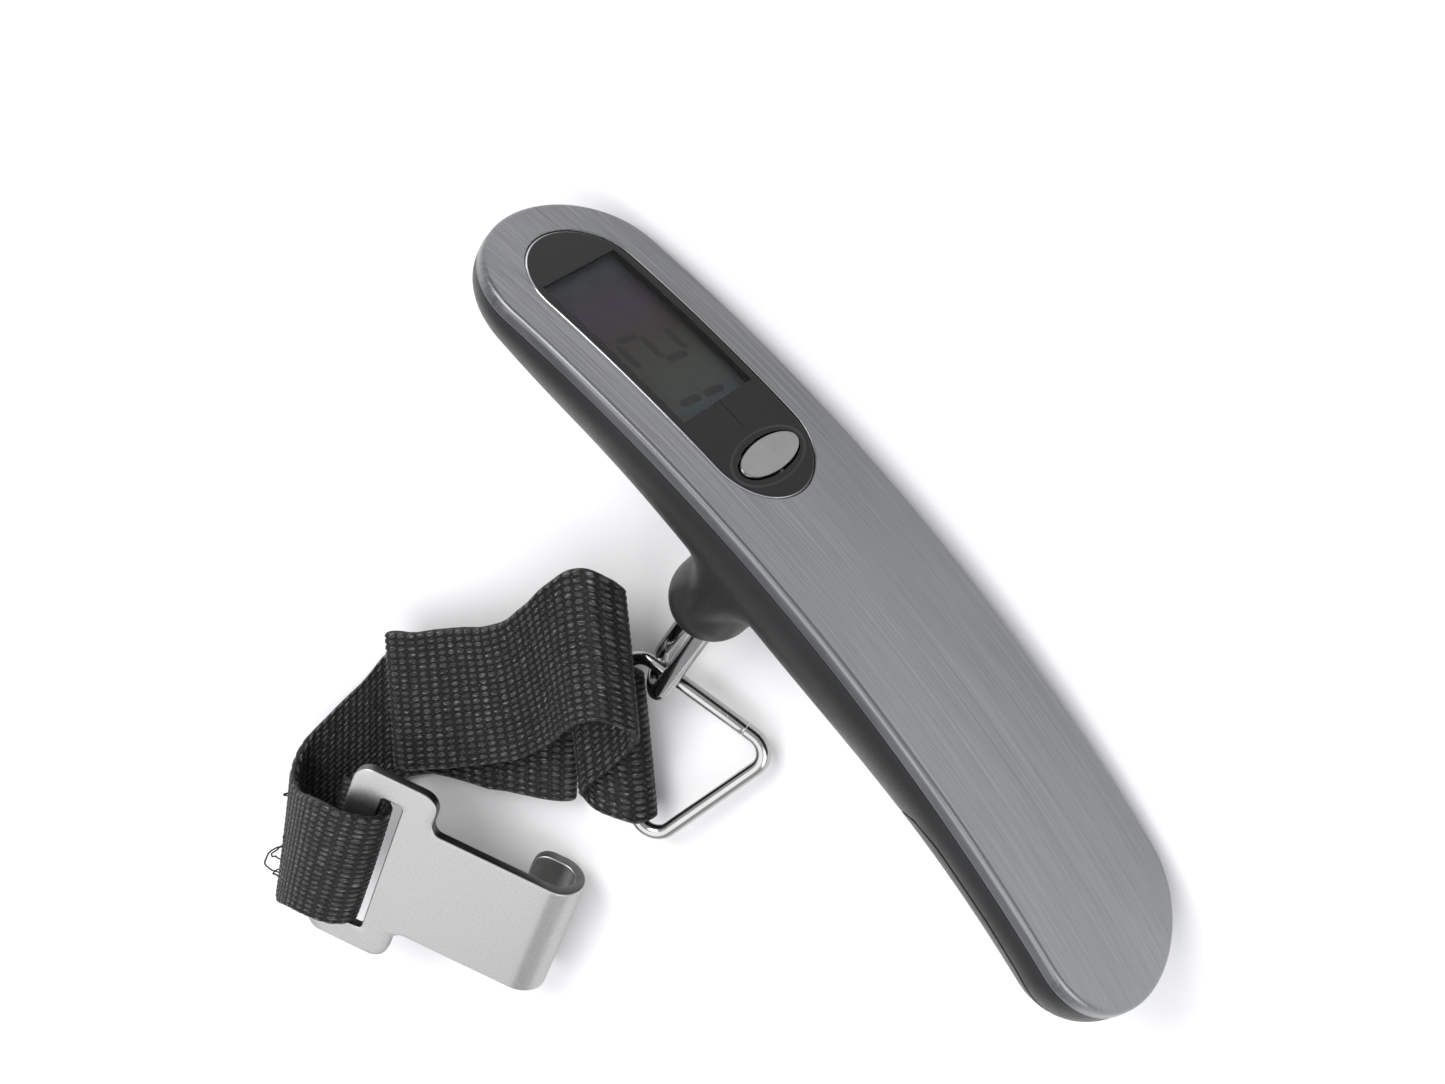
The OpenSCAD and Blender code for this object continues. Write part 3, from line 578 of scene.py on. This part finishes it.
def shell_z(x, y):
    """Height of the shell's outer face below the handle's plan point."""
    depth = 13.0 + 3.5 * math.exp(-(x / 30.0) ** 2) - 0.15
    return arch_z(x) - RIM_H - 0.15 - depth * math.sqrt(max(0.0, 1 - (y / (HANDLE_W / 2 - 0.15)) ** 2))


def boss_rings(sides=96, reach=7.2, rise=4.6):
    """The boss: a round end, a straight wall, and a fillet that runs out along the shell on every side."""
    turn = [(math.cos(a), math.sin(a)) for a in np.linspace(0, 2 * math.pi, sides, endpoint=False)]
    rings = [[(EYE_X + r * c, r * q, z) for c, q in turn]
             for r, z in [(0.01, BOSS_Z - BOSS_R)]
             + [(BOSS_R * math.sin(math.radians(t)), BOSS_Z - BOSS_R * math.cos(math.radians(t)))
                for t in range(5, 91, 5)]]
    blends = []
    for c, q in turn:
        far = BOSS_R + reach
        end = shell_z(EYE_X + far * c, far * q)
        slope = (shell_z(EYE_X + (far + 0.2) * c, (far + 0.2) * q) - end) / 0.2
        knee = end - slope * reach
        foot = min(knee, end) - rise
        line = []
        for t in np.linspace(0, 1, 15):
            r = (1 - t) ** 2 * BOSS_R + 2 * t * (1 - t) * BOSS_R + t * t * far
            z = (1 - t) ** 2 * foot + 2 * t * (1 - t) * knee + t * t * end
            line.append((EYE_X + r * c, r * q, z + 0.05 * t))
        line.append((EYE_X + (far + 0.6) * c, (far + 0.6) * q, end + slope * 0.6 + 0.5))
        line.append((EYE_X + 6 * c, 6 * q, -9.5))
        blends.append(line)
    rings += [[line[k] for line in blends] for k in range(len(blends[0]))]
    return rings


# The door's edge seen from the side: place along the handle and depth below the rim
DOOR_EDGE = [(-29, 9.6), (-29.5, 7.6), (-31, 6.1), (-36, 5), (-48, 4.8), (-56, 5.1),
             (-62, 5.9), (-68, 7.2), (-80, 10)]


def door_outline(gap):
    edge = [(x - gap, arch_z(x) - RIM_H - low - gap) for x, low in DOOR_EDGE]
    return [(-29 - gap, -40)] + edge + [(-80, -40)]


def make_shell():
    outer = scratch("t_outer", *skin(shell_rings(0.15, 0, 90, 40)))
    inner = scratch("t_inner", *skin(shell_rings(1.65, 2, 60, 32)))
    boss = scratch("t_boss", *skin(boss_rings()))
    bore = scratch("t_bore", *lathe([(0.01, -29.6), (5.8, -29.6), (5.8, -9.6), (0.01, -9.6)], EYE_X, 64))
    tools = [("UNION", boss), ("DIFFERENCE", inner), ("DIFFERENCE", bore)]
    for side in (-1, 1):
        slot = scratch("t_slot%d" % side, *prism([tuple(p) for p in pill(4.9, 2 * EYE_R + 0.5, 48)], -14, -2))
        slot.matrix_world = in_metres(EYE_IN_HANDLE @ Matrix.Translation((0, side * EYE_HALF, 0)))
        tools.append(("DIFFERENCE", slot))
    zone = [(x, z) for x, z in door_outline(0)]
    cut = scratch("t_zone", *prism(zone, -30, 30))
    cut.matrix_world = Matrix.Rotation(math.radians(90), 4, "X")
    tools.append(("DIFFERENCE", cut))
    seam = scratch("t_seam", *tube(seam_path(), 0.36, 8, (1, 0, 0)))
    tools.append(("DIFFERENCE", seam))
    mesh = carve(outer, tools)
    shell = finish_piece(mesh, "grip_shell", HANDLE, "handle", MAT["soft_black"], 38,
                         baked=True)
    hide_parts("lower_shell")
    outer = scratch("t_outer", *skin(shell_rings(0.15, 0, 90, 40)))
    zone2 = scratch("t_zone2", *prism([(x, z) for x, z in door_outline(0.15)], -30, 30))
    zone2.matrix_world = Matrix.Rotation(math.radians(90), 4, "X")
    mesh = carve(outer, [("INTERSECT", zone2), ("DIFFERENCE", inner),
                         ("DIFFERENCE", seam)])
    door = finish_piece(mesh, "door_cap", HANDLE, "door", MAT["soft_black"], 38)
    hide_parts("battery_door")
    drop(inner, cut, zone2, *[t for _, t in tools if t not in (inner, cut)])


EYE_IN_HANDLE = (Matrix.Translation((EYE_X, 0, -25)) @ Matrix.Rotation(math.radians(36.5), 4, "Z")
                 @ Matrix.Rotation(math.radians(9.6), 4, "Y"))


def seam_path():
    """Where the battery door's edge comes out on the shell, from the tail along one side and back."""
    def side_point(x, z, side):
        b, d = cap_scale(x, CAP_LEN - 0.15) * (HANDLE_W / 2 - 0.15), deep_scale(x, 0.15) * (
            13.0 + 3.5 * math.exp(-(x / 30.0) ** 2) - 0.15)
        low = (arch_z(x) - RIM_H - 0.15 - z) / d
        return (x, side * b * math.sqrt(max(0.0, 1 - low * low)), z)

    along = [(x, z) for x, z in door_outline(0.0)[1:-1]]
    fine = []
    for (x0, z0), (x1, z1) in zip(along, along[1:]):
        n = max(1, int(abs(x1 - x0) / 1.5))
        fine += [(x0 + (x1 - x0) * k / n, z0 + (z1 - z0) * k / n) for k in range(n)]
    fine = [(x, z) for x, z in fine if -67 < x]
    x0, z0 = fine[0]
    d = 13.0 + 3.5 * math.exp(-(x0 / 30.0) ** 2) - 0.15
    rim = arch_z(x0) - RIM_H - 0.15
    first = math.asin((rim - z0) / d)
    cross = [(x0, (HANDLE_W / 2 - 0.15) * math.cos(a), rim - d * math.sin(a))
             for a in np.linspace(first, math.pi - first, 50)[1:-1]]
    return ([side_point(x, z, 1) for x, z in reversed(fine)] + cross
            + [side_point(x, z, -1) for x, z in fine])


def button_plan(margin, count=96):
    return evenly([((BUTTON_W / 2 + margin) * math.cos(t), (BUTTON_LEN / 2 + margin) * math.sin(t))
                   for t in np.linspace(0, 2 * math.pi, 2 * count, endpoint=False)], count)


def make_lens():
    count = 240
    lip = 0.45
    length, width = WINDOW_LEN - 0.1, WINDOW_W - 0.1
    half = (length - width) / 2

    def ring(inset, depth, spread=1.0):
        """The lens's outline drawn in by an inset, or shrunk towards the middle line by the spread."""
        line = pill(length - 2 * inset, width - 2 * inset, count)
        flat = [(min(half, max(-half, x)) * (1 - spread) + x * spread, y * spread) for x, y in line]
        return on_arch([at_window(p) for p in flat], depth)

    rings = [ring(0, 1.2, t) for t in (0.02, 0.25, 0.5, 0.75, 1.0)]
    for t in np.linspace(0, 90, 8):
        a = math.radians(t)
        rings.append(ring(lip * (1 - math.cos(a)), 0.1 + lip * (1 - math.sin(a))))
    rings += [ring(0.8, 0.1, t) for t in (1.0, 0.8, 0.6, 0.4, 0.2, 0.02)]
    body = scratch("t_lens", *skin(rings))
    lean = math.asin(BUTTON_X / ARCH_R)
    hole = scratch("t_hole", *prism([tuple(p) for p in button_plan(0.35)], -4, 4))
    hole.matrix_world = in_metres(Matrix.Translation((BUTTON_X, 0, arch_z(BUTTON_X)))
                                  @ Matrix.Rotation(lean, 4, "Y"))
    mesh = carve(body, [("DIFFERENCE", hole)])
    drop(hole)
    obj = finish_piece(mesh, "window_lens", HANDLE, "handle", MAT["lens"], 32)
    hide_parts("display_lens")


def make_button():
    lean = math.asin(BUTTON_X / ARCH_R)
    place = HANDLE @ Matrix.Translation((BUTTON_X, 0, arch_z(BUTTON_X))) @ Matrix.Rotation(lean, 4, "Y")
    rings = []
    for inset, z in ((0.0, -0.9), (0.0, 0.02), (0.03, 0.14), (0.10, 0.24), (0.22, 0.30),
                     (0.40, 0.31), (0.55, 0.28)):
        rings.append([(x, y, z) for x, y in button_plan(-inset)])
    base = button_plan(-0.62)
    for t in np.linspace(1, 0.04, 10):
        rings.append([(x * t, y * t, 0.29 + 0.07 * (1 - t * t)) for x, y in base])
    stem = [[(1.8 * math.cos(a), 1.8 * math.sin(a), z)
             for a in np.linspace(0, 2 * math.pi, 48, endpoint=False)]
            for z in (-1.85, -0.85)]
    v1, f1 = skin(rings)
    v2, f2 = skin(stem)
    obj = add("button_cap", v1 + v2, f1 + [tuple(i + len(v1) for i in f) for f in f2], place, "button",
              MAT["button"], 40)
    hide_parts("power_button")


def bar(cx, cy, length, width, along_x):
    """Flat six-sided segment of a digit, tapered at both ends."""
    h, w = length / 2, width / 2
    pts = [(-h, 0), (-h + w, w), (h - w, w), (h, 0), (h - w, -w), (-h + w, -w)]
    return [(cx + (p if along_x else q), cy + (q if along_x else p)) for p, q in pts]


def make_lcd():
    lean = math.asin(LCD_X / ARCH_R)
    local = Matrix.Translation((LCD_X, 0, arch_z(LCD_X))) @ Matrix.Rotation(lean, 4, "Y")
    top, low = -1.8, -3.6
    verts, faces = [], []
    for z, grow in ((low, 0.0), (top - 0.12, 0.0), (top, -0.12)):
        verts.append([tuple(local @ Vector((sx * (17 + grow), sy * (8.5 + grow), z)))
                      for sx, sy in ((1, 1), (-1, 1), (-1, -1), (1, -1))])
    v, f = skin(verts)
    obj = add("lcd_glass", v, f, HANDLE, "handle", MAT["lcd"], 30)
    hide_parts("lcd_panel")
    shown = {"2": "abged", "1": "bc"}
    verts, faces = [], []
    tall, wide, thick = 9.8, 5.6, 1.3
    for cx, digit in ((43.7, "2"), (36.4, "1")):
        half, quarter = wide / 2, tall / 4
        seg = {"a": (0, tall / 2, wide - 0.6, True), "d": (0, -tall / 2, wide - 0.6, True),
               "g": (0, 0, wide - 0.6, True), "b": (half, quarter, tall / 2 - 0.5, False),
               "c": (half, -quarter, tall / 2 - 0.5, False), "e": (-half, -quarter, tall / 2 - 0.5, False)}
        for s in shown[digit]:
            x, y, length, flat = seg[s]
            pts = bar(x, y, length, thick, flat)
            start = len(verts)
            for px, py in pts:
                verts.append(tuple(local @ Vector((cx - LCD_X - px - 0.12 * py, -py, top + 0.02))))
            faces.append(tuple(range(start, start + 6)))
    seg = add("lcd_digits", verts, faces, HANDLE, "handle", MAT["segment"], 30)
    return seg


# ---------------------------------------------------------------- wires
def tube(points, radii, sides=20, up=(0, 0, 1), cap=True):
    p = np.array(points, float)
    rings = []
    last = None
    for i in range(len(p)):
        t = p[min(i + 1, len(p) - 1)] - p[max(i - 1, 0)]
        t /= np.linalg.norm(t)
        u = np.cross(t, up) if last is None else last - t * np.dot(last, t)
        u /= np.linalg.norm(u)
        last = u
        v = np.cross(t, u)
        r = radii if np.isscalar(radii) else radii[i]
        rings.append([tuple(p[i] + r * (math.cos(a) * u + math.sin(a) * v))
                      for a in np.linspace(0, 2 * math.pi, sides, endpoint=False)])
    return skin(rings, cap)


def make_eye():
    leg = EYE_LEN - EYE_HALF
    pts = [(0, -EYE_HALF, z) for z in np.linspace(1.6, -leg, 20)]
    pts += [(0, EYE_HALF * math.sin(t), -leg - EYE_HALF * math.cos(t)) for t in np.linspace(-1.48, 1.48, 32)]
    pts += [(0, EYE_HALF, z) for z in np.linspace(-leg, 1.6, 20)]
    v, f = tube(pts, EYE_R, 28, (1, 0, 0))
    obj = add("eye_wire", v, f, EYE, "eye", MAT["chrome"], 40)
    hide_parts("eye_loop")


def ring_route(step=9):
    base, height, bend = 36.5, 25.0, 3.4
    a, c, b = np.array((base / 2, 0.0)), np.array((-base / 2, 0.0)), np.array((0.0, -height))

    def unit(v):
        return v / np.linalg.norm(v)

    def corner(last, p, nxt):
        tl, tn = unit(last - p), unit(nxt - p)
        half = math.acos(float(np.dot(tl, tn))) / 2
        centre = p + unit(tl + tn) * bend / math.sin(half)
        start = p + tl * bend / math.tan(half) - centre
        first = math.atan2(start[1], start[0])
        return [centre + bend * np.array((math.cos(first + k * (math.pi - 2 * half) / step),
                                          math.sin(first + k * (math.pi - 2 * half) / step)))
                for k in range(step + 1)]

    joint = b + unit(a - b) * 6.2
    pts = [joint + unit(a - b) * 0.1] + corner(b, a, c) + corner(a, c, b) + corner(c, b, a) + [joint]
    out = []
    for p, q in zip(pts, pts[1:]):
        n = max(1, int(np.linalg.norm(q - p) / 2.5))
        out += [p + (q - p) * k / n for k in range(n)]
    out.append(pts[-1])
    return [(x, y, 0.0) for x, y in out]


def make_ring():
    pts = ring_route()
    radii = [1.2] * len(pts)
    radii[0] = radii[-1] = 1.12
    pts.insert(1, tuple(np.array(pts[0]) + (np.array(pts[1]) - np.array(pts[0])) * 0.06))
    radii.insert(1, 1.2)
    pts.insert(len(pts) - 1, tuple(np.array(pts[-1]) + (np.array(pts[-2]) - np.array(pts[-1])) * 0.06))
    radii.insert(len(radii) - 1, 1.2)
    v, f = tube(pts, radii, 24)
    obj = add("ring_wire", v, f, RING, "ring", MAT["chrome"], 40)
    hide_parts("triangle_ring")


# ---------------------------------------------------------------- strap
# Centre of the webbing and the heading and rise of its width at each station, as in the CAD source
STRAP = [
    (5, 62.5, 3.5, -39, 0), (3.6, 62, 1.5, -39, 0), (2, 59.8, 0.9, -39, 0),
    (0.9, 58.2, 1.9, -39, 0), (0.1, 57.2, 4, -39, 0), (0.9, 58.2, 6.3, -39, 0),
    (2.6, 59.4, 7.1, -39, 0), (6.7, 62.4, 7.1, -39, 0), (9.6, 62.2, 8, -39, 0),
    (10.6, 59.6, 9, -39, 0), (10.6, 55.6, 9.1, -39, 0), (10.6, 51.2, 9.1, -39, 0),
    (11, 47.4, 9.7, -39, 0), (12, 45.2, 11.5, -39, 0), (14.2, 44.6, 13.7, -39, 0),
    (17.2, 46, 14.8, -39, 0), (19, 49.8, 14.2, -39, 0), (19.6, 54.6, 12.6, -39, 5),
    (19.8, 60.8, 10.4, -39, 9), (21, 68, 8.8, -41, 8), (25.6, 77, 7.4, -42, 3),
    (30.4, 85.2, 6.8, -42, 0), (32.6, 88.9, 5.6, -43, 0), (31.2, 87.6, 4.4, -44, 0),
    (25, 82.2, 3.9, -45, 0), (18, 75.8, 3.9, -45, 0), (12, 69.8, 3.8, -46, 0),
    (9.3, 66.9, 2.6, -47, 0), (11.8, 68.8, 1.3, -47, 0), (20, 76.5, 1.2, -46, 0),
    (27.5, 86, 1.2, -45, 0), (31, 94, 1.2, -46, 0), (31, 102.5, 1.3, -48, 0),
    (31, 111, 2, -50, 0), (30.6, 118.6, 4.4, -53, 2), (28, 121.2, 9, -57, 4),
    (25.4, 118.6, 14, -61, 5), (22.6, 112.6, 19, -64, 6), (18.6, 108.3, 21.3, -67, 6.2),
    (15, 106, 19.8, -67.6, 6.2), (13.9, 105.4, 16.7, -67.6, 6.2),
    (15.7, 106.1, 13.6, -67.6, 6.2), (19.6, 108.4, 12.2, -66, 6.2), (22.6, 110.8, 12.2, -64, 6)]
STRAP_W, STRAP_T = 25.0, 1.5
STRAP_SHIFT, STRAP_REACH = -0.28, 1.035


def curve_rows(rows, steps):
    r = np.array(rows, float)
    out = []
    for i in range(len(r) - 1):
        a, b, c, d = r[max(i - 1, 0)], r[i], r[i + 1], r[min(i + 2, len(r) - 1)]
        for k in range(steps):
            t = k / steps
            out.append(0.5 * (2 * b + (c - a) * t + (2 * a - 5 * b + 4 * c - d) * t * t
                              + (3 * b - a - 3 * c + d) * t ** 3))
    out.append(r[-1])
    return np.array(out)


def resample(rows, step):
    s = np.concatenate([[0], np.cumsum(np.linalg.norm(np.diff(rows[:, :3], axis=0), axis=1))])
    t = np.linspace(0, s[-1], int(s[-1] / step) + 1)
    return np.stack([np.interp(t, s, rows[:, k]) for k in range(rows.shape[1])], 1), t


def strap_frames(step):
    placed = [(x, STRAP_REACH * y + STRAP_SHIFT, z, a, b) for x, y, z, a, b in STRAP]
    rows, s = resample(curve_rows(placed, 16), step)
    c = rows[:, :3] + np.array(FOOTPRINT)
    head, rise = np.radians(rows[:, 3]), np.radians(rows[:, 4])
    w = np.stack([np.cos(rise) * np.cos(head), np.cos(rise) * np.sin(head), np.sin(rise)], 1)
    t = np.gradient(c, axis=0)
    h = np.cross(t, w)
    h /= np.linalg.norm(h, axis=1)[:, None]
    return c, w, h, s


def weave(u, v):
    """Height of the weave, 0 to 1, at distances across and along the strap in millimetres."""
    def ovals(shift, tall, long):
        rib, pick = u / RIB + shift, v / PICK + shift
        across, over = rib - np.floor(rib) - 0.5, pick - np.floor(pick) - 0.5
        return np.clip(1.25 - (across / tall) ** 2 - (over / long) ** 2, 0, 1)

    return np.maximum(ovals(0.0, 0.46, 0.46), 0.3 * ovals(0.5, 0.26, 0.15))


def make_strap():
    c, w, h, s = strap_frames(0.3)
    cells = 110
    u = np.linspace(0, STRAP_W, cells + 1)
    side = u - STRAP_W / 2
    rng = np.random.default_rng(7)
    # Slow unevenness, so that neither the edges nor the faces run perfectly true
    wob = np.interp(s, np.linspace(0, s[-1], 70), rng.normal(0, 0.12, 70))
    wob2 = np.interp(s, np.linspace(0, s[-1], 70), rng.normal(0, 0.12, 70))
    cup = np.interp(s, np.linspace(0, s[-1], 24), rng.normal(0, 0.10, 24))
    n = len(s)
    edge = np.clip((STRAP_W / 2 - np.abs(side)) / 0.6, 0, 1) ** 0.5
    verts = np.zeros((2, n, cells + 1, 3))
    for face, sign in ((0, 1), (1, -1)):
        for j in range(cells + 1):
            relief = weave(np.full(n, u[j]), s + (0 if sign > 0 else PICK / 2))
            thick = (STRAP_T / 2 - 0.26) * edge[j] + 0.04 + 0.26 * relief * edge[j]
            scale = 1 + (wob if side[j] > 0 else wob2) / STRAP_W * 2 * abs(side[j]) / (STRAP_W / 2)
            bow = cup * (1 - (side[j] / (STRAP_W / 2)) ** 2)
            verts[face, :, j] = (c + w * (side[j] * scale * 0.992)[:, None]
                                 + h * (sign * thick + bow)[:, None])
    flat = verts.reshape(-1, 3)
    m = cells + 1
    size = n * m
    faces = []
    for i in range(n - 1):
        for j in range(cells):
            a = i * m + j
            faces.append((a, a + 1, a + m + 1, a + m))
            faces.append((size + a, size + a + m, size + a + m + 1, size + a + 1))
    for i in range(n - 1):
        for j in (0, cells):
            a = i * m + j
            faces.append((a, a + m, size + a + m, size + a))
    for j in range(cells):
        for i in (0, n - 1):
            a = i * m + j
            faces.append((a, a + 1, size + a + 1, size + a))
    uv = np.zeros((2 * size, 2))
    grid_u, grid_v = np.meshgrid(u / 25.0, s / UV_LEN)
    uv[:size, 0], uv[:size, 1] = grid_u.ravel(), grid_v.ravel()
    uv[size:, 0], uv[size:, 1] = grid_u.ravel(), grid_v.ravel() + PICK / 2 / UV_LEN
    obj = add("strap_webbing", [tuple(p) for p in flat], faces, Matrix.Identity(4), "strap",
              MAT["webbing"], 180, lambda co, i: tuple(uv[i]))
    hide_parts("strap")
    return obj


def make_threads():
    """Frayed yarns at both ends of the webbing, and loops pulled out of its outer turn."""
    c, w, h, s = strap_frames(0.5)
    rng = np.random.default_rng(11)
    verts, faces = [], []
    ends = [(len(s) - 1, 1, 17), (0, -1, 10)]
    for at, way, count in ends:
        t = c[at] - c[at - way * 2]
        t /= np.linalg.norm(t)
        for _ in range(count):
            p = c[at] + w[at] * rng.uniform(-12, 12) + h[at] * rng.uniform(-0.4, 0.4)
            d = t + 0.35 * rng.normal(size=3)
            pts = [p - t * 0.6]
            for k in range(5):
                d = d + 0.35 * rng.normal(size=3) + np.array((0, 0, -0.05))
                d /= np.linalg.norm(d)
                pts.append(pts[-1] + d * rng.uniform(0.25, 0.5))
            v, f = tube(pts, 0.07, 5)
            faces += [tuple(i + len(verts) for i in q) for q in f]
            verts += v
    # Pulled loops on the outer turn of the strap, next to the hook
    turn = int(np.argmax(c @ np.array((0.7, 0.7, 0.0))))
    away = np.array((0.62, 0.75, 0.2))
    for back, across, out, wide in ((10, -5.0, 3.8, 3.0), (8, -8.5, 2.2, 1.2), (14, 1.0, 1.2, 0.7),
                                    (4, 6.5, 2.0, 0.8), (12, -3.0, 2.6, 1.6)):
        p = c[turn + back] + w[turn + back] * across
        pts = []
        for k in range(17):
            a = math.pi * k / 16
            pts.append(tuple(p + away * (out * math.sin(a) - 0.5) - w[turn] * wide * math.cos(a)
                             + np.array((0, 0, 0.5 * math.sin(3 * a + out))) + rng.normal(0, 0.09, 3)))
        v, f = tube(pts, 0.15, 6)
        faces += [tuple(i + len(verts) for i in q) for q in f]
        verts += v
    obj = add("yarn_ends", verts, faces, Matrix.Identity(4), "strap", MAT["thread"], 60)
    return obj


# ---------------------------------------------------------------- hook
def hook_outline():
    """Flat pattern of the plate: head to the left, the stretch that is rolled to the right."""
    hook_len, head_w, head_len, width, bend, t, lip = 21.6, 15.0, 36.6, 22.8, 4.8, 1.9, 5.0
    unrolled = math.pi * (bend - t / 2) + lip
    head_x = -hook_len - head_w
    pts = []

    def arc(cx, cy, r, a0, a1, n=10):
        for a in np.radians(np.linspace(a0, a1, n)):
            pts.append((cx + r * math.cos(a), cy + r * math.sin(a)))

    hl, hw = head_len / 2, width / 2
    arc(head_x + 3, hl - 3, 3, 180, 90)
    arc(-hook_len - 3, hl - 3, 3, 90, 0)
    pts.append((-hook_len, hw + 2.2))
    arc(-hook_len + 2, hw + 2, 2, 180, 270)
    arc(unrolled - 3, hw - 3, 3, 90, 0)
    arc(unrolled - 3, -hw + 3, 3, 0, -90)
    arc(-hook_len + 2, -hw - 2, 2, 90, 180)
    pts.append((-hook_len, -hw - 2.2))
    arc(-hook_len - 3, -hl + 3, 3, 0, -90)
    arc(head_x + 3, -hl + 3, 3, 270, 180)
    slot_x0, slot_x1, sl = -hook_len - 5.5 - 4, -hook_len - 5.5, 13.9
    slot = []
    for cx, cy, a0 in ((slot_x1 - 0.8, sl - 0.8, 0), (slot_x0 + 0.8, sl - 0.8, 90),
                       (slot_x0 + 0.8, -sl + 0.8, 180), (slot_x1 - 0.8, -sl + 0.8, 270)):
        for a in np.radians(np.linspace(a0, a0 + 90, 6)):
            slot.append((cx + 0.8 * math.cos(a), cy + 0.8 * math.sin(a)))
    return pts, slot, unrolled


def make_hook():
    pts, slot, unrolled = hook_outline()
    t, bend, soft = 1.9, 4.8, 0.28
    data = bpy.data.curves.new("t_hook", "CURVE")
    data.dimensions = "2D"
    data.fill_mode = "BOTH"
    data.extrude = (t / 2 - soft) * MM
    data.bevel_depth = soft * MM
    data.bevel_resolution = 3
    data.offset = -soft * MM
    for loop in (pts, slot):
        sp = data.splines.new("POLY")
        sp.points.add(len(loop) - 1)
        for p, q in zip(sp.points, loop):
            p.co = (q[0] * MM, q[1] * MM, 0, 1)
        sp.use_cyclic_u = True
    tmp = bpy.data.objects.new("t_hook", data)
    bpy.context.scene.collection.objects.link(tmp)
    bpy.context.view_layer.update()
    mesh = bpy.data.meshes.new_from_object(tmp.evaluated_get(bpy.context.evaluated_depsgraph_get()))
    drop(tmp)
    bm = bmesh.new()
    bm.from_mesh(mesh)
    bmesh.ops.remove_doubles(bm, verts=bm.verts, dist=1e-6)
    cuts = list(np.linspace(0, unrolled - 5.0, 30)) + list(np.linspace(-36, -1, 15)) + [12, 15]
    for x in cuts:
        bmesh.ops.bisect_plane(bm, geom=bm.verts[:] + bm.edges[:] + bm.faces[:], dist=1e-8,
                               plane_co=(x * MM, 0, 0), plane_no=(1, 0, 0))
    for y in np.linspace(-17, 17, 12):
        bmesh.ops.bisect_plane(bm, geom=bm.verts[:] + bm.edges[:] + bm.faces[:], dist=1e-8,
                               plane_co=(0, y * MM, 0), plane_no=(0, 1, 0))
    mid = bend - t / 2
    for v in bm.verts:
        x, y, z = v.co.x / MM, v.co.y / MM, v.co.z / MM
        if x > 0:
            a = min(x / mid, math.pi)
            extra = max(0.0, x - mid * math.pi)
            r = mid + z
            nx, nz = r * math.sin(a), -bend + r * math.cos(a)
            if extra:
                nx, nz = -extra, -2 * bend + t / 2 - z
        else:
            nx, nz = x, z - t / 2
        v.co = Vector((nx, y, nz)) * MM
    mesh = bpy.data.meshes.new("hook_plate")
    bm.to_mesh(mesh)
    bm.free()
    obj = finish_piece(mesh, "hook_plate", HOOK, "hook", MAT["hook_face"], 50)
    mesh.materials.append(MAT["hook_edge"])
    # The sheared edges are darker than the rolled faces
    for poly in mesh.polygons:
        n = poly.normal
        x, z = poly.center.x / MM, poly.center.z / MM
        radial = Vector((0, 0, 1)) if x < 0 else Vector((x, 0, z + bend)).normalized()
        if abs(n.dot(radial)) < 0.3:
            poly.material_index = 1
    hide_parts("hook")


# ---------------------------------------------------------------- build
make_cover()
make_shell()
make_lens()
make_button()
make_lcd()
make_eye()
make_ring()
make_hook()
make_strap()
make_threads()

CARRIED = {
    "top_housing": "black_plastic", "zebra_strips": "dark_rubber", "circuit_board": "board",
    "board_chips": "chip", "tact_switch": "spring_steel", "load_cell": "aluminium", "gauge_pads": "chip",
    "cell_screws": "spring_steel", "load_link": "spring_steel", "link_nut": "spring_steel",
    "eye_pin": "spring_steel", "battery_1": "battery", "battery_2": "battery",
    "battery_springs": "spring_steel", "battery_plates": "spring_steel", "housing_screws": "spring_steel",
    "sensor_leads": "chip"}
for name, key in CARRIED.items():
    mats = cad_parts[name].data.materials
    mats.clear()
    mats.append(MAT[key])

# ---------------------------------------------------------------- stage and light
floor_mesh = bpy.data.meshes.new("floor")
floor_mesh.from_pydata([(-3, -3, 0), (3, -3, 0), (3, 3, 0), (-3, 3, 0)], [], [(0, 1, 2, 3)])
floor = bpy.data.objects.new("floor", floor_mesh)
bpy.context.scene.collection.objects.link(floor)
pale = Nodes("pale_floor")
pale.set(Base_Color=pale.mix(pale.noise(3, 2), rgb(0.86, 0.86, 0.86), rgb(0.88, 0.88, 0.88)), Roughness=0.9,
         Specular_IOR_Level=0.1)
floor_mesh.materials.append(pale.mat)


def area(name, at, aim, size, power, size_y=None):
    data = bpy.data.lights.new(name, "AREA")
    data.energy = power
    data.size = size
    if size_y:
        data.shape = "RECTANGLE"
        data.size_y = size_y
    obj = bpy.data.objects.new(name, data)
    bpy.context.scene.collection.objects.link(obj)
    obj.location = at
    obj.rotation_euler = (Vector(aim) - Vector(at)).to_track_quat("-Z", "Y").to_euler()
    return obj


area("key", (0.75, -0.35, 0.95), (0, 0, 0), 0.8, 10)
area("fill", (-0.9, -0.2, 0.7), (0, 0, 0), 0.9, 5)
area("top", (0.0, 0.5, 1.1), (0, 0, 0), 1.2, 6)
world = bpy.data.worlds.new("world")
bpy.context.scene.world = world
world.use_nodes = True
world.node_tree.nodes["Background"].inputs[0].default_value = (0.95, 0.96, 1.0, 1)
world.node_tree.nodes["Background"].inputs[1].default_value = 0.6
bpy.context.scene.view_settings.view_transform = "Standard"
